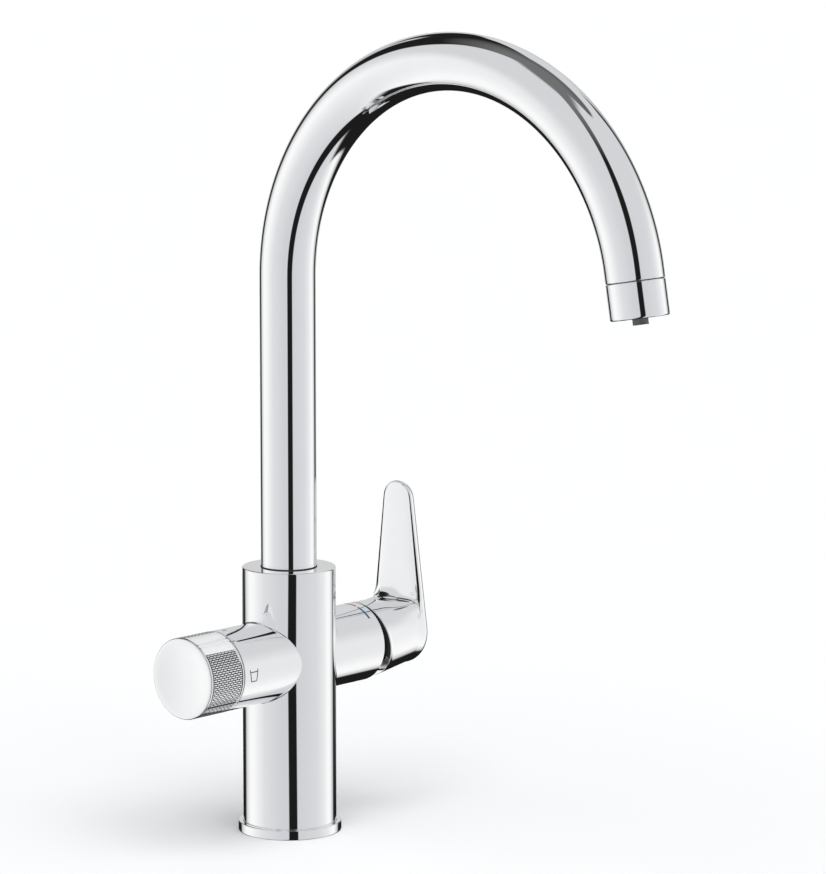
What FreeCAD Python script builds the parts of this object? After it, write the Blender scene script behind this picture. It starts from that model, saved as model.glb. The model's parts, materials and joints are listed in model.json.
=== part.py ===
import FreeCAD, Part
import math
import os

from FreeCAD import Placement, Rotation, Vector

# Three-way kitchen tap: a round column with a lever mixer on its right (+X), a knob for the third,
# filtered water on its left (-X), and a swivelling hooped spout that points to the front (-Y).
# Millimetres, +Z up, origin on the worktop at the column's axis.

# Column and base
column_diameter = 47.0
column_top = 135.0
column_bore_diameter = 39.0
column_rim_round = 0.6
branch_fillet = 1.0
base_ring_diameter = 52.0
base_ring_height = 5.0
base_ring_ledge = 2.0
base_ring_hole_diameter = 41.0
base_ring_round = 0.5
gasket_outer_diameter = 49.0
gasket_inner_diameter = 44.0
gasket_thickness = 1.2

# Clearances: pieces of one assembly, running fits, and free gaps
fit_gap = 0.05
running_gap = 0.05
face_gap = 0.05
free_gap = 0.3
groove_overcut = 1.0

# The two side branches share one axis
branch_height = 89.0
filter_branch_diameter = 40.4
filter_branch_reach = 52.6
mixer_branch_diameter = 40.0
mixer_branch_reach = 49.6
branch_end_round = 0.3

# Inlets in the foot of the column
manifold_bottom = 30.0
manifold_top = 64.0
circlip_thickness = 1.6
circlip_depth = 0.9
port_circle_diameter = 24.0
port_count = 3
port_start_angle = 90.0
port_thread_diameter = 9.0
port_thread_length = 12.0
stud_thread_diameter = 6.8
stud_thread_length = 16.0
passage_diameter = 5.0
port_seal_section = 1.6

# Waterways inside the column
chamber_diameter = 16.0
chamber_lift = 0.5
mixed_passage_diameter = 6.0
mixed_passage_lift = 4.5
supply_passage_drop = 7.0
supply_passage_offset = 9.0
filter_outlet_drop = 2.6
filter_inlet_drop = 5.0
filter_inlet_offset = 5.5
nipple_flange_diameter = 8.0
nipple_flange_length = 9.5
nipple_reach = 15.0
nipple_bore_diameter = 3.4

# Spout
tube_diameter = 28.0
tube_wall = 1.5
socket_depth = 38.0
socket_gap = 0.25
tube_seat_depth = 15.0
bend_start = 281.0
bend_radius = 111.0
bend_angle = 170.0
tube_end_straight = 4.5
swivel_each_way = 75.0
foot_clear = 0.5
foot_diameter = 27.6
foot_bore_diameter = 16.0
foot_spigot_length = 7.0
slide_ring_width = 3.0
slide_ring_depth = 1.0
seal_section = 2.0
seal_pitch = 4.0
groove_land = 1.2
lock_groove_width = 3.6
lock_groove_depth = 1.5
lock_screw_diameter = 5.0
lock_tip_diameter = 3.0
lock_tip_length = 1.6
lock_socket_across = 2.5
lock_socket_depth = 3.0
pipe_diameter = 8.0
pipe_wall = 1.25
pipe_foot_lift = 4.0

# Outlet at the end of the spout, along its own flow axis
outlet_seam = 0.6
outlet_length = 17.0
outlet_wall = 1.5
outlet_lip_length = 1.7
outlet_lip_width = 1.5
outlet_round = 1.0
spigot_length = 8.0
spigot_wall = 2.0
spigot_seal_section = 1.1
spigot_seal_back = 4.0
screen_thickness = 0.4
screen_hole_diameter = 1.0
screen_ring_counts = (16, 22, 28)
insert_recess = 0.4
jet_count = 14
jet_diameter = 2.4
nozzle_diameter = 7.5
nozzle_bore_diameter = 4.4
nozzle_overhang = 3.0
nozzle_flange_diameter = 12.0
nozzle_flange_thickness = 1.2
nozzle_spigot_length = 9.0

# Mixer cartridge, stacked inwards from the end of its branch
mixer_cavity_diameter = 36.0
cartridge_base_thickness = 2.8
cartridge_port_diameter = 6.0
cartridge_seal_diameter = 8.0
cartridge_seal_section = 1.6
fixed_disc_diameter = 27.0
disc_thickness = 2.8
moving_disc_diameter = 21.0
carrier_thickness = 5.4
housing_wall = 2.6
rotor_diameter = 28.0
rotor_length = 10.0
rotor_gap = 0.15
rotor_slot_height = 16.0
housing_lip_thickness = 1.8
housing_mouth_diameter = 24.0
cartridge_nut_length = 3.4
cartridge_nut_inset = 1.0
cartridge_nut_hole_diameter = 26.0
pivot_inset = 5.0
pivot_pin_diameter = 4.0
pivot_pin_length = 24.0
stem_width = 8.0
stem_grip = 3.0
stem_neck_height = 3.4
stem_tip_diameter = 5.0
stem_tip_depth = 2.2
stem_slot_gap = 0.3
lever_open_angle = 25.0

# Dome between the collar and the lever
dome_base_diameter = 37.8
dome_thickness = 1.2
dome_mouth_half_angle = 43.0
dome_skirt_wall = 1.4

# Lever
lever_top_gap = 1.1
lever_bottom_gap = 8.7
lever_rim_diameter = 40.0
lever_blade_inner = 80.0
lever_blade_thickness = 7.0
lever_hub_end_diameter = 35.0
lever_tip_height = 159.2
lever_tip_diameter = 18.4
lever_lean = 1.1
lever_outer_round = 4.5
lever_wall = 2.4
lever_boss_diameter = 17.0
lever_web = 1.0
lever_dome_gap = 0.6
set_screw_diameter = 5.0
set_screw_length = 5.5
set_screw_socket_across = 2.5
set_screw_socket_depth = 2.5
screw_cap_length = 2.0
screw_cap_diameter = 6.0

# Filter valve headpart
filter_cavity_depth = 31.6
filter_thread_diameter = 20.0
filter_thread_length = 15.0
filter_clearance_diameter = 34.0
valve_gasket_thickness = 2.0
valve_disc_diameter = 14.6
valve_disc_thickness = 2.9
valve_port_diameter = 4.4
valve_bore_diameter = 15.0
valve_hex_across = 22.0
valve_hex_length = 6.0
valve_neck_diameter = 16.0
valve_neck_inset = 0.6
spindle_diameter = 8.0
spindle_flange_diameter = 14.0
spindle_flange_thickness = 2.0
spindle_grip = 9.0
spindle_flat_depth = 1.0
spindle_seal_section = 1.0
spindle_seal_back = 12.0
spindle_clip_thickness = 0.9
spindle_clip_diameter = 11.0
spindle_clip_depth = 0.7

# Filter knob
knob_diameter = 40.6
knob_seam = 0.6
knob_length = 23.0
knob_face_thickness = 4.0
knob_wall = 3.2
knob_face_round = 1.0
knob_boss_diameter = 24.0
knob_boss_inset = 4.8
knob_insert_diameter = 18.0
knob_insert_inset = 2.8
knob_insert_length = 12.0
knob_screw_diameter = 4.0
knob_screw_inset = 9.8
knob_screw_socket_across = 2.0
knob_screw_socket_depth = 2.0
guide_ring_wall = 2.4
guide_ring_seat = 5.6
guide_ring_reach = 3.8

# Worked out from the sizes above
column_radius = column_diameter / 2
tube_radius = tube_diameter / 2
tube_inner_radius = tube_radius - tube_wall
socket_radius = tube_radius + socket_gap
socket_floor = column_top - socket_depth
tube_foot = column_top - tube_seat_depth
pipe_foot = socket_floor + pipe_foot_lift
chamber_floor = branch_height + chamber_lift
nipple_flange_bottom = chamber_floor - nipple_flange_length
nipple_top = socket_floor + nipple_reach
foot_bottom = socket_floor + foot_clear
branch_centre = (0.0, branch_height)
port_radius = port_circle_diameter / 2
bend_end = Vector(
    0,
    -bend_radius * (1 - math.cos(math.radians(bend_angle))),
    bend_start + bend_radius * math.sin(math.radians(bend_angle)),
)
flow_direction = Vector(0, -math.sin(math.radians(bend_angle)), math.cos(math.radians(bend_angle)))
tube_end = bend_end + flow_direction * tube_end_straight
nut_end = mixer_branch_reach - cartridge_nut_inset
housing_end = nut_end - cartridge_nut_length
rotor_end = housing_end - housing_lip_thickness - rotor_gap
rotor_start = rotor_end - rotor_length
carrier_start = rotor_start - 2 * face_gap - carrier_thickness
moving_disc_start = carrier_start - disc_thickness
disc_seat = moving_disc_start - face_gap - disc_thickness
mixer_floor = disc_seat - cartridge_base_thickness
pivot_station = rotor_end - pivot_inset
pivot = Vector(pivot_station, 0, branch_height)
stem_tip_station = carrier_start + carrier_thickness - stem_tip_depth
disc_travel = (pivot_station - stem_tip_station) * math.sin(math.radians(lever_open_angle))
dome_radius = math.hypot(mixer_branch_reach - pivot_station, dome_base_diameter / 2)
lever_boss_start = pivot_station + dome_radius + lever_dome_gap + fit_gap
lever_cavity_end = lever_blade_inner - lever_web
stem_end = lever_blade_inner + stem_grip
set_screw_station = (lever_boss_start + stem_end) / 2
filter_floor = filter_branch_reach - filter_cavity_depth
filter_thread_end = filter_floor + filter_thread_length
valve_neck_end = filter_branch_reach - valve_neck_inset
knob_start = filter_branch_reach + knob_seam
knob_face = knob_start + knob_length
knob_boss_start = knob_start + knob_boss_inset
knob_insert_start = knob_start + knob_insert_inset
knob_insert_end = knob_insert_start + knob_insert_length
knob_screw_station = knob_start + knob_screw_inset
spindle_end = knob_insert_start + spindle_grip
spindle_seal_station = valve_neck_end - spindle_seal_back
guide_ring_start = filter_branch_reach - guide_ring_seat
guide_ring_end = knob_start + guide_ring_reach

AXES = {"x": Vector(1, 0, 0), "y": Vector(0, 1, 0), "z": Vector(0, 0, 1)}


def point(axis, station, centre):
    """A point at a station along an axis, with the other two coordinates in X, Y, Z order."""
    a, b = centre
    if axis == "x":
        return Vector(station, a, b)
    if axis == "y":
        return Vector(a, station, b)
    return Vector(a, b, station)


def rod(axis, diameter, start, stop, centre=(0.0, 0.0)):
    """A solid cylinder along an axis from start to stop."""
    low, high = min(start, stop), max(start, stop)
    return Part.makeCylinder(diameter / 2, high - low, point(axis, low, centre), AXES[axis])


def ring(axis, outer, inner, start, stop, centre=(0.0, 0.0)):
    """A flat-ended ring along an axis."""
    return rod(axis, outer, start, stop, centre).cut(rod(axis, inner, start, stop, centre))


def o_ring(axis, outer, section, station, centre=(0.0, 0.0)):
    """A round-section seal whose outside diameter is outer."""
    major = (outer - section) / 2
    return Part.makeTorus(major, section / 2, point(axis, station, centre), AXES[axis])


def block(low, high):
    """A box between two opposite corners."""
    size = Vector(*high) - Vector(*low)
    return Part.makeBox(size.x, size.y, size.z, Vector(*low))


def hexagon(axis, across, start, stop, centre=(0.0, 0.0)):
    """A hexagonal bar along an axis, given its width across flats."""
    radius = across / math.sqrt(3)
    corners = []
    for i in range(7):
        angle = math.radians(60 * i)
        spot = (centre[0] + radius * math.cos(angle), centre[1] + radius * math.sin(angle))
        corners.append(point(axis, start, spot))
    return Part.Face(Part.makePolygon(corners)).extrude(AXES[axis] * (stop - start))


def fused(first, *others):
    """One solid from several, with the seams between them removed."""
    return first.multiFuse(list(others)).removeSplitter()


def cut_all(shape, *tools):
    """A solid with several tools cut away."""
    return shape.cut(list(tools))


def group(solids):
    """Separate solids kept together in one node."""
    return Part.makeCompound(solids)


def circles_at(shape, axis, station, diameter):
    """The round edges of a given size that lie at a station along an axis."""
    found = []
    for edge in shape.Edges:
        curve = edge.Curve
        if not isinstance(curve, Part.Circle):
            continue
        same_place = abs(curve.Center.dot(AXES[axis]) - station) < 1e-4
        if same_place and abs(curve.Radius - diameter / 2) < 1e-4:
            found.append(edge)
    return found


def rounded(shape, radius, *picks):
    """A solid with its round edges, picked by axis, station and diameter, rounded over."""
    edges = []
    for pick in picks:
        edges += circles_at(shape, *pick)
    return shape.makeFillet(radius, edges)


def port_places():
    """Where the three inlets stand round the column's axis: hot, filtered and cold."""
    places = []
    for i in range(port_count):
        angle = math.radians(port_start_angle + 360 / port_count * i)
        places.append((port_radius * math.cos(angle), port_radius * math.sin(angle)))
    return places


def supply_places():
    """Where the hot and cold passages meet the mixer's floor, as Y and Z."""
    height = branch_height - supply_passage_drop
    return [(supply_passage_offset, height), (-supply_passage_offset, height)]


def cartridge_places():
    """The cartridge's three ports on the mixer's floor: hot, cold and mixed."""
    return supply_places() + [(0.0, branch_height + mixed_passage_lift)]


def valve_places():
    """The filter valve's two ports on its floor: inlet and outlet."""
    inlet = (-filter_inlet_offset, branch_height - filter_inlet_drop)
    return [inlet, (0.0, branch_height - filter_outlet_drop)]


def column_outside():
    """The column with its two branches, rounded where they meet."""
    column = rod("z", column_diameter, base_ring_ledge, column_top)
    filter_branch = rod("x", filter_branch_diameter, -filter_branch_reach, 0, branch_centre)
    mixer_branch = rod("x", mixer_branch_diameter, 0, mixer_branch_reach, branch_centre)
    outside = fused(column, filter_branch, mixer_branch)
    saddles = [e for e in outside.Edges if not isinstance(e.Curve, (Part.Circle, Part.Line))]
    outside = outside.makeFillet(branch_fillet, saddles)
    outside = rounded(outside, column_rim_round, ("z", column_top, column_diameter))
    return rounded(
        outside,
        branch_end_round,
        ("x", -filter_branch_reach, filter_branch_diameter),
        ("x", mixer_branch_reach, mixer_branch_diameter),
    )


def column_waterways():
    """Drillings that lead the three supplies up to the valves and on to the spout."""
    hot, filtered, cold = port_places()
    (hot_side, supply_height), (cold_side, _) = supply_places()
    valve_inlet, valve_outlet = valve_places()
    top_of_supply = supply_height + passage_diameter / 2
    top_of_filter = valve_inlet[1] + passage_diameter / 2
    mixed = (0.0, branch_height + mixed_passage_lift)
    return [
        rod("z", passage_diameter, manifold_top, top_of_supply, hot),
        rod("z", passage_diameter, manifold_top, top_of_supply, cold),
        rod("z", passage_diameter, manifold_top, top_of_filter, filtered),
        rod("x", passage_diameter, hot[0], mixer_floor, (hot_side, supply_height)),
        rod("x", passage_diameter, cold[0], mixer_floor, (cold_side, supply_height)),
        rod("x", passage_diameter, filtered[0], -filter_floor, valve_inlet),
        rod("x", passage_diameter, 0, -filter_floor, valve_outlet),
        rod("x", mixed_passage_diameter, 0, mixer_floor, mixed),
        rod("z", chamber_diameter, chamber_floor, socket_floor),
        rod("z", nipple_flange_diameter + 2 * fit_gap, nipple_flange_bottom, chamber_floor),
    ]


def lock_height():
    """The height of the groove and screw that hold the spout in its socket."""
    above_seals = foot_bottom + groove_land + slide_ring_width + 2 * seal_pitch + groove_land
    return above_seals + lock_groove_width / 2


def body_casting():
    """The plated column casting with its cavities, waterways and screw hole."""
    clip_low = manifold_bottom - circlip_thickness
    clip_groove = column_bore_diameter + 2 * (circlip_depth + fit_gap)
    return cut_all(
        column_outside(),
        rod("z", 2 * socket_radius, socket_floor, column_top),
        rod("x", mixer_cavity_diameter, mixer_floor, mixer_branch_reach, branch_centre),
        rod("x", filter_thread_diameter, -filter_thread_end, -filter_floor, branch_centre),
        rod("x", filter_clearance_diameter, -filter_branch_reach, -filter_thread_end, branch_centre),
        rod("z", column_bore_diameter, base_ring_ledge, manifold_top),
        rod("z", clip_groove, clip_low, manifold_bottom),
        rod("y", lock_screw_diameter, 0, column_radius, (0.0, lock_height())),
        *column_waterways(),
    )


def base_ring():
    """The ring that the column stands in."""
    outside = rod("z", base_ring_diameter, 0, base_ring_height)
    outside = rounded(
        outside,
        base_ring_round,
        ("z", 0, base_ring_diameter),
        ("z", base_ring_height, base_ring_diameter),
    )
    groove = ring("z", gasket_outer_diameter, gasket_inner_diameter, 0, gasket_thickness)
    return cut_all(
        outside,
        rod("z", column_diameter + 2 * fit_gap, base_ring_ledge, base_ring_height),
        rod("z", base_ring_hole_diameter, 0, base_ring_ledge),
        groove,
    )


def base_gasket():
    """The rubber ring under the base, pressed flush with it."""
    outer = gasket_outer_diameter - 2 * fit_gap
    inner = gasket_inner_diameter + 2 * fit_gap
    return ring("z", outer, inner, 0, gasket_thickness)


def inlet_manifold():
    """The block in the column's foot with the hose ports and the fixing stud's thread."""
    thread_top = manifold_bottom + port_thread_length
    tools = [rod("z", stud_thread_diameter, manifold_bottom, manifold_bottom + stud_thread_length)]
    seat = passage_diameter + 2 * port_seal_section + 2 * fit_gap
    for place in port_places():
        tools.append(rod("z", port_thread_diameter, manifold_bottom, thread_top, place))
        tools.append(rod("z", passage_diameter, thread_top, manifold_top, place))
        tools.append(rod("z", seat, manifold_top - port_seal_section, manifold_top, place))
    return cut_all(
        rod("z", column_bore_diameter - 2 * fit_gap, manifold_bottom, manifold_top),
        *tools,
    )


def manifold_seals():
    """One seal round each passage on top of the manifold."""
    outer = passage_diameter + 2 * port_seal_section
    height = manifold_top - port_seal_section / 2
    return group([o_ring("z", outer, port_seal_section, height, place) for place in port_places()])


def manifold_circlip():
    """The split ring that holds the manifold up in the column."""
    outer = column_bore_diameter + 2 * circlip_depth
    inner = base_ring_hole_diameter - 2 * base_ring_ledge
    low = manifold_bottom - circlip_thickness
    whole = ring("z", outer, inner, low, manifold_bottom)
    split = block((0, -circlip_thickness, low), (outer, circlip_thickness, manifold_bottom))
    return whole.cut(split)


def filter_nipple():
    """The short pipe that feeds filtered water up into the spout's inner pipe."""
    flange = rod("z", nipple_flange_diameter, nipple_flange_bottom, chamber_floor)
    stalk = rod("z", pipe_bore() - 2 * running_gap, chamber_floor, nipple_top)
    outlet_height = branch_height - filter_outlet_drop
    return cut_all(
        fused(flange, stalk),
        rod("z", nipple_bore_diameter, outlet_height, nipple_top),
        rod("x", nipple_bore_diameter, -nipple_flange_diameter, 0, (0.0, outlet_height)),
    )


def pipe_bore():
    """The inside diameter of the filtered water pipe."""
    return pipe_diameter - 2 * pipe_wall


def spout_path(foot):
    """The spout's centre line: up, round the hoop and a short way down."""
    start = Vector(0, 0, foot)
    bend_low = Vector(0, 0, bend_start)
    half = math.radians(bend_angle / 2)
    middle = Vector(0, -bend_radius * (1 - math.cos(half)), bend_start + bend_radius * math.sin(half))
    rise = Part.LineSegment(start, bend_low).toShape()
    hoop = Part.Arc(bend_low, middle, bend_end).toShape()
    drop = Part.LineSegment(bend_end, tube_end).toShape()
    return Part.Wire([rise, hoop, drop])


def piped(diameter, foot):
    """A round bar swept along the spout's centre line."""
    circle = Part.Wire([Part.makeCircle(diameter / 2, Vector(0, 0, foot), AXES["z"])])
    return spout_path(foot).makePipeShell([circle], True, True)


def spout_tube():
    """The hooped tube."""
    return piped(tube_diameter, tube_foot).cut(piped(2 * tube_inner_radius, tube_foot))


def filter_pipe():
    """The filtered water's own pipe inside the spout."""
    return piped(pipe_diameter, pipe_foot).cut(piped(pipe_bore(), pipe_foot))


def slide_ring_places():
    """The low edges of the two slide rings on the spout's foot."""
    return [foot_bottom + groove_land, tube_foot - groove_land - slide_ring_width]


def spout_seal_places():
    """The heights of the two seals on the spout's foot."""
    first = foot_bottom + groove_land + slide_ring_width + seal_pitch / 2 + groove_land / 2
    return [first, first + seal_pitch]


def lock_groove():
    """The part-round groove whose ends stop the spout's swing."""
    floor_radius = foot_diameter / 2 - lock_groove_depth
    low = lock_height() - lock_groove_width / 2
    high = lock_height() + lock_groove_width / 2
    whole = ring("z", foot_diameter + groove_overcut, 2 * floor_radius, low, high)
    tip_room = math.degrees(math.asin((lock_tip_diameter / 2 + free_gap) / floor_radius))
    half_span = swivel_each_way + tip_room
    sector = Part.makeCylinder(foot_diameter, high - low, Vector(0, 0, low), AXES["z"], 2 * half_span)
    sector.rotate(Vector(0, 0, 0), AXES["z"], 90 - half_span)
    return whole.common(sector)


def spout_foot():
    """The bush on the tube's lower end, grooved for its seals, slide rings and lock screw."""
    body = rod("z", foot_diameter, foot_bottom, tube_foot)
    spigot_diameter = 2 * (tube_inner_radius - fit_gap)
    spigot = rod("z", spigot_diameter, tube_foot, tube_foot + foot_spigot_length)
    tools = [rod("z", foot_bore_diameter, foot_bottom, tube_foot + foot_spigot_length), lock_groove()]
    ring_floor = foot_diameter - 2 * slide_ring_depth
    for low in slide_ring_places():
        tools.append(ring("z", foot_diameter + groove_overcut, ring_floor, low, low + slide_ring_width))
    seal_floor = 2 * (socket_radius - running_gap - seal_section - fit_gap)
    half_groove = seal_section / 2 + fit_gap
    for height in spout_seal_places():
        low, high = height - half_groove, height + half_groove
        tools.append(ring("z", foot_diameter + groove_overcut, seal_floor, low, high))
    return cut_all(fused(body, spigot), *tools)


def spout_seals():
    """The two rubber seals between the spout and its socket."""
    outer = 2 * (socket_radius - running_gap)
    return group([o_ring("z", outer, seal_section, height) for height in spout_seal_places()])


def spout_slide_rings():
    """The two plastic bands that the spout turns on."""
    outer = 2 * (socket_radius - running_gap)
    inner = foot_diameter - 2 * slide_ring_depth + 2 * fit_gap
    rings = []
    for low in slide_ring_places():
        rings.append(ring("z", outer, inner, low + fit_gap, low + slide_ring_width - fit_gap))
    return group(rings)


def spout_lock_screw():
    """The grub screw at the back that keeps the spout in and limits its swing."""
    height = lock_height()
    tip_start = foot_diameter / 2 - lock_groove_depth + free_gap
    shank_start = tip_start + lock_tip_length
    end = column_radius - free_gap
    shank = rod("y", lock_screw_diameter - 2 * fit_gap, shank_start, end, (0.0, height))
    tip = rod("y", lock_tip_diameter, tip_start, shank_start, (0.0, height))
    socket = hexagon("y", lock_socket_across, end - lock_socket_depth, end, (0.0, height))
    return fused(shank, tip).cut(socket)


def at_outlet(shape):
    """Moves a piece built along +Z onto the spout's end, along the flow."""
    placed = shape.copy()
    placed.Placement = Placement(tube_end, Rotation(AXES["x"], bend_angle))
    return placed


def outlet_end():
    """The far end of the outlet sleeve along the flow."""
    return outlet_seam + outlet_length


def spigot_groove_floor():
    """The diameter at the bottom of the outlet spigot's seal groove."""
    return 2 * (tube_inner_radius - fit_gap - spigot_seal_section - fit_gap)


def outlet_sleeve():
    """The screwed sleeve at the spout's end that holds the flow insert."""
    end = outlet_end()
    inner = tube_diameter - 2 * outlet_wall
    spigot_outer = 2 * (tube_inner_radius - fit_gap)
    spigot_inner = spigot_outer - 2 * spigot_wall
    shell = rounded(
        rod("z", tube_diameter, outlet_seam, end),
        outlet_round,
        ("z", end, tube_diameter),
    )
    web_end = outlet_seam + spigot_wall
    shell = cut_all(
        shell,
        rod("z", inner, web_end, end - outlet_lip_length),
        rod("z", inner - 2 * outlet_lip_width, end - outlet_lip_length, end),
        rod("z", spigot_inner, outlet_seam, web_end),
    )
    spigot = ring("z", spigot_outer, spigot_inner, -spigot_length, outlet_seam)
    half = spigot_seal_section / 2 + fit_gap
    low, high = -spigot_seal_back - half, half - spigot_seal_back
    groove = ring("z", spigot_outer + groove_overcut, spigot_groove_floor(), low, high)
    return at_outlet(fused(shell, spigot.cut(groove)))


def outlet_seal():
    """The seal on the sleeve's spigot, inside the tube."""
    outer = 2 * (tube_inner_radius - fit_gap)
    return at_outlet(o_ring("z", outer, spigot_seal_section, -spigot_seal_back))


def flow_screen_start():
    """Where the flow screen lies along the flow."""
    return outlet_seam + spigot_wall


def flow_screen():
    """The perforated disc above the flow insert."""
    start = flow_screen_start()
    stop = start + screen_thickness
    outer = tube_diameter - 2 * outlet_wall - 2 * fit_gap
    tools = [rod("z", nozzle_diameter + 2 * fit_gap, start, stop)]
    first = nozzle_diameter / 2 + 2 * screen_hole_diameter
    last = outer / 2 - 2 * screen_hole_diameter
    rows = len(screen_ring_counts)
    for row, count in enumerate(screen_ring_counts):
        radius = first + (last - first) * row / (rows - 1)
        for i in range(count):
            angle = 2 * math.pi * i / count
            place = (radius * math.cos(angle), radius * math.sin(angle))
            tools.append(rod("z", screen_hole_diameter, start, stop, place))
    return at_outlet(cut_all(rod("z", outer, start, stop), *tools))


def flow_insert():
    """The ring of jets for the mixed water, round the filtered water's nozzle."""
    start = flow_screen_start() + screen_thickness
    shoulder = outlet_end() - outlet_lip_length
    stop = outlet_end() - insert_recess
    outer = tube_diameter - 2 * outlet_wall
    mouth = outer - 2 * outlet_lip_width
    tools = [rod("z", nozzle_diameter + 2 * fit_gap, start, stop)]
    jet_radius = (nozzle_diameter + mouth) / 4
    for i in range(jet_count):
        angle = 2 * math.pi * i / jet_count
        place = (jet_radius * math.cos(angle), jet_radius * math.sin(angle))
        tools.append(rod("z", jet_diameter, start, stop, place))
    body = fused(
        rod("z", outer - 2 * fit_gap, start, shoulder),
        rod("z", mouth - 2 * fit_gap, shoulder, stop),
    )
    return at_outlet(cut_all(body, *tools))


def filter_nozzle():
    """The dark nozzle in the outlet's middle that the filtered water leaves by."""
    stop = outlet_end() + nozzle_overhang
    flange_stop = flow_screen_start()
    flange_start = flange_stop - nozzle_flange_thickness
    body = fused(
        rod("z", nozzle_diameter, flange_stop, stop),
        rod("z", nozzle_flange_diameter, flange_start, flange_stop),
        rod("z", pipe_bore() - 2 * fit_gap, -nozzle_spigot_length, flange_start),
    )
    return at_outlet(
        cut_all(
            body,
            rod("z", nozzle_bore_diameter, flange_start, stop),
            rod("z", nipple_bore_diameter, -nozzle_spigot_length, flange_start),
        )
    )


def cartridge_base():
    """The cartridge's ported floor."""
    tools = []
    seat = cartridge_seal_diameter + 2 * fit_gap
    for place in cartridge_places():
        tools.append(rod("x", cartridge_port_diameter, mixer_floor, disc_seat, place))
        tools.append(rod("x", seat, mixer_floor, mixer_floor + cartridge_seal_section, place))
    outer = mixer_cavity_diameter - 2 * fit_gap
    return cut_all(rod("x", outer, mixer_floor, disc_seat, branch_centre), *tools)


def cartridge_seals():
    """One seal under each of the cartridge's ports."""
    station = mixer_floor + cartridge_seal_section / 2
    seals = []
    for place in cartridge_places():
        seals.append(o_ring("x", cartridge_seal_diameter, cartridge_seal_section, station, place))
    return group(seals)


def fixed_disc():
    """The lower ceramic disc."""
    stop = disc_seat + disc_thickness
    ports = [rod("x", cartridge_port_diameter, disc_seat, stop, place) for place in cartridge_places()]
    return cut_all(rod("x", fixed_disc_diameter, disc_seat, stop, branch_centre), *ports)


def moving_disc_centre():
    """Where the moving disc stands with the lever shut: half its travel below the axis."""
    return (0.0, branch_height - disc_travel / 2)


def moving_disc():
    """The upper ceramic disc, with the pocket that joins the ports as it slides."""
    whole = rod("x", moving_disc_diameter, moving_disc_start, carrier_start, moving_disc_centre())
    pocket_end = moving_disc_start + disc_thickness / 2
    pocket = rod("x", moving_disc_diameter / 2, moving_disc_start, pocket_end, moving_disc_centre())
    return whole.cut(pocket)


def disc_carrier():
    """The plastic carrier that the stem pushes to slide the moving disc."""
    stop = carrier_start + carrier_thickness
    whole = rod("x", moving_disc_diameter, carrier_start, stop, moving_disc_centre())
    half_height = stem_tip_diameter / 2 + stem_slot_gap
    half_width = stem_width / 2 + stem_slot_gap
    floor = stem_tip_station - stem_tip_diameter / 2 - stem_slot_gap
    slot = block(
        (max(floor, carrier_start), -half_width, branch_height - half_height),
        (stop, half_width, branch_height + half_height),
    )
    return whole.cut(slot)


def cartridge_housing():
    """The cartridge's shell round the discs and the rotor."""
    outer = mixer_cavity_diameter - 2 * fit_gap
    disc_room = outer - 2 * housing_wall
    rotor_room = rotor_diameter + 2 * running_gap
    shoulder = rotor_start - face_gap
    return cut_all(
        rod("x", outer, disc_seat, housing_end, branch_centre),
        rod("x", disc_room, disc_seat, shoulder, branch_centre),
        rod("x", rotor_room, shoulder, rotor_end + rotor_gap, branch_centre),
        rod("x", housing_mouth_diameter, rotor_end + rotor_gap, housing_end, branch_centre),
    )


def cartridge_rotor():
    """The part that turns with the lever to mix hot and cold, with the stem's slot and pin hole."""
    half_height = rotor_slot_height / 2
    half_width = stem_width / 2 + running_gap
    slot = block(
        (rotor_start, -half_width, branch_height - half_height),
        (rotor_end, half_width, branch_height + half_height),
    )
    half_pin = pivot_pin_length / 2
    pin_hole = rod("y", pivot_pin_diameter, -half_pin, half_pin, (pivot_station, branch_height))
    return cut_all(rod("x", rotor_diameter, rotor_start, rotor_end, branch_centre), slot, pin_hole)


def stem_pivot_pin():
    """The pin that the stem rocks on."""
    half_pin = pivot_pin_length / 2
    return rod("y", pivot_pin_diameter, -half_pin, half_pin, (pivot_station, branch_height))


def control_stem():
    """The square stem between the lever and the disc carrier."""
    half = stem_width / 2
    neck_half = stem_neck_height / 2
    neck_end = rotor_start + stem_width / 4
    shank = block((neck_end, -half, branch_height - half), (stem_end, half, branch_height + half))
    neck = block(
        (stem_tip_station, -half, branch_height - neck_half),
        (neck_end, half, branch_height + neck_half),
    )
    tip = rod("y", stem_tip_diameter, -half, half, (stem_tip_station, branch_height))
    pin_room = pivot_pin_diameter + 2 * running_gap
    pin_hole = rod("y", pin_room, -half, half, (pivot_station, branch_height))
    return cut_all(fused(shank, neck, tip), pin_hole)


def cartridge_nut():
    """The ring nut that clamps the cartridge into the branch."""
    outer = mixer_cavity_diameter - 2 * fit_gap
    return ring("x", outer, cartridge_nut_hole_diameter, housing_end, nut_end, branch_centre)


def dome_cap():
    """The plated dome that shows in the gap between the collar and the lever."""
    mouth = pivot_station + dome_radius * math.cos(math.radians(dome_mouth_half_angle))
    shell = Part.makeSphere(dome_radius, pivot).cut(Part.makeSphere(dome_radius - dome_thickness, pivot))
    zone = rod("x", 2 * dome_radius, mixer_branch_reach, mouth, branch_centre)
    skirt_outer = mixer_cavity_diameter - 2 * fit_gap
    skirt_inner = skirt_outer - 2 * dome_skirt_wall
    skirt = ring("x", skirt_outer, skirt_inner, nut_end, mixer_branch_reach + dome_thickness, branch_centre)
    skirt = skirt.common(Part.makeSphere(dome_radius - dome_thickness / 2, pivot))
    return fused(shell.common(zone), skirt)


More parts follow.
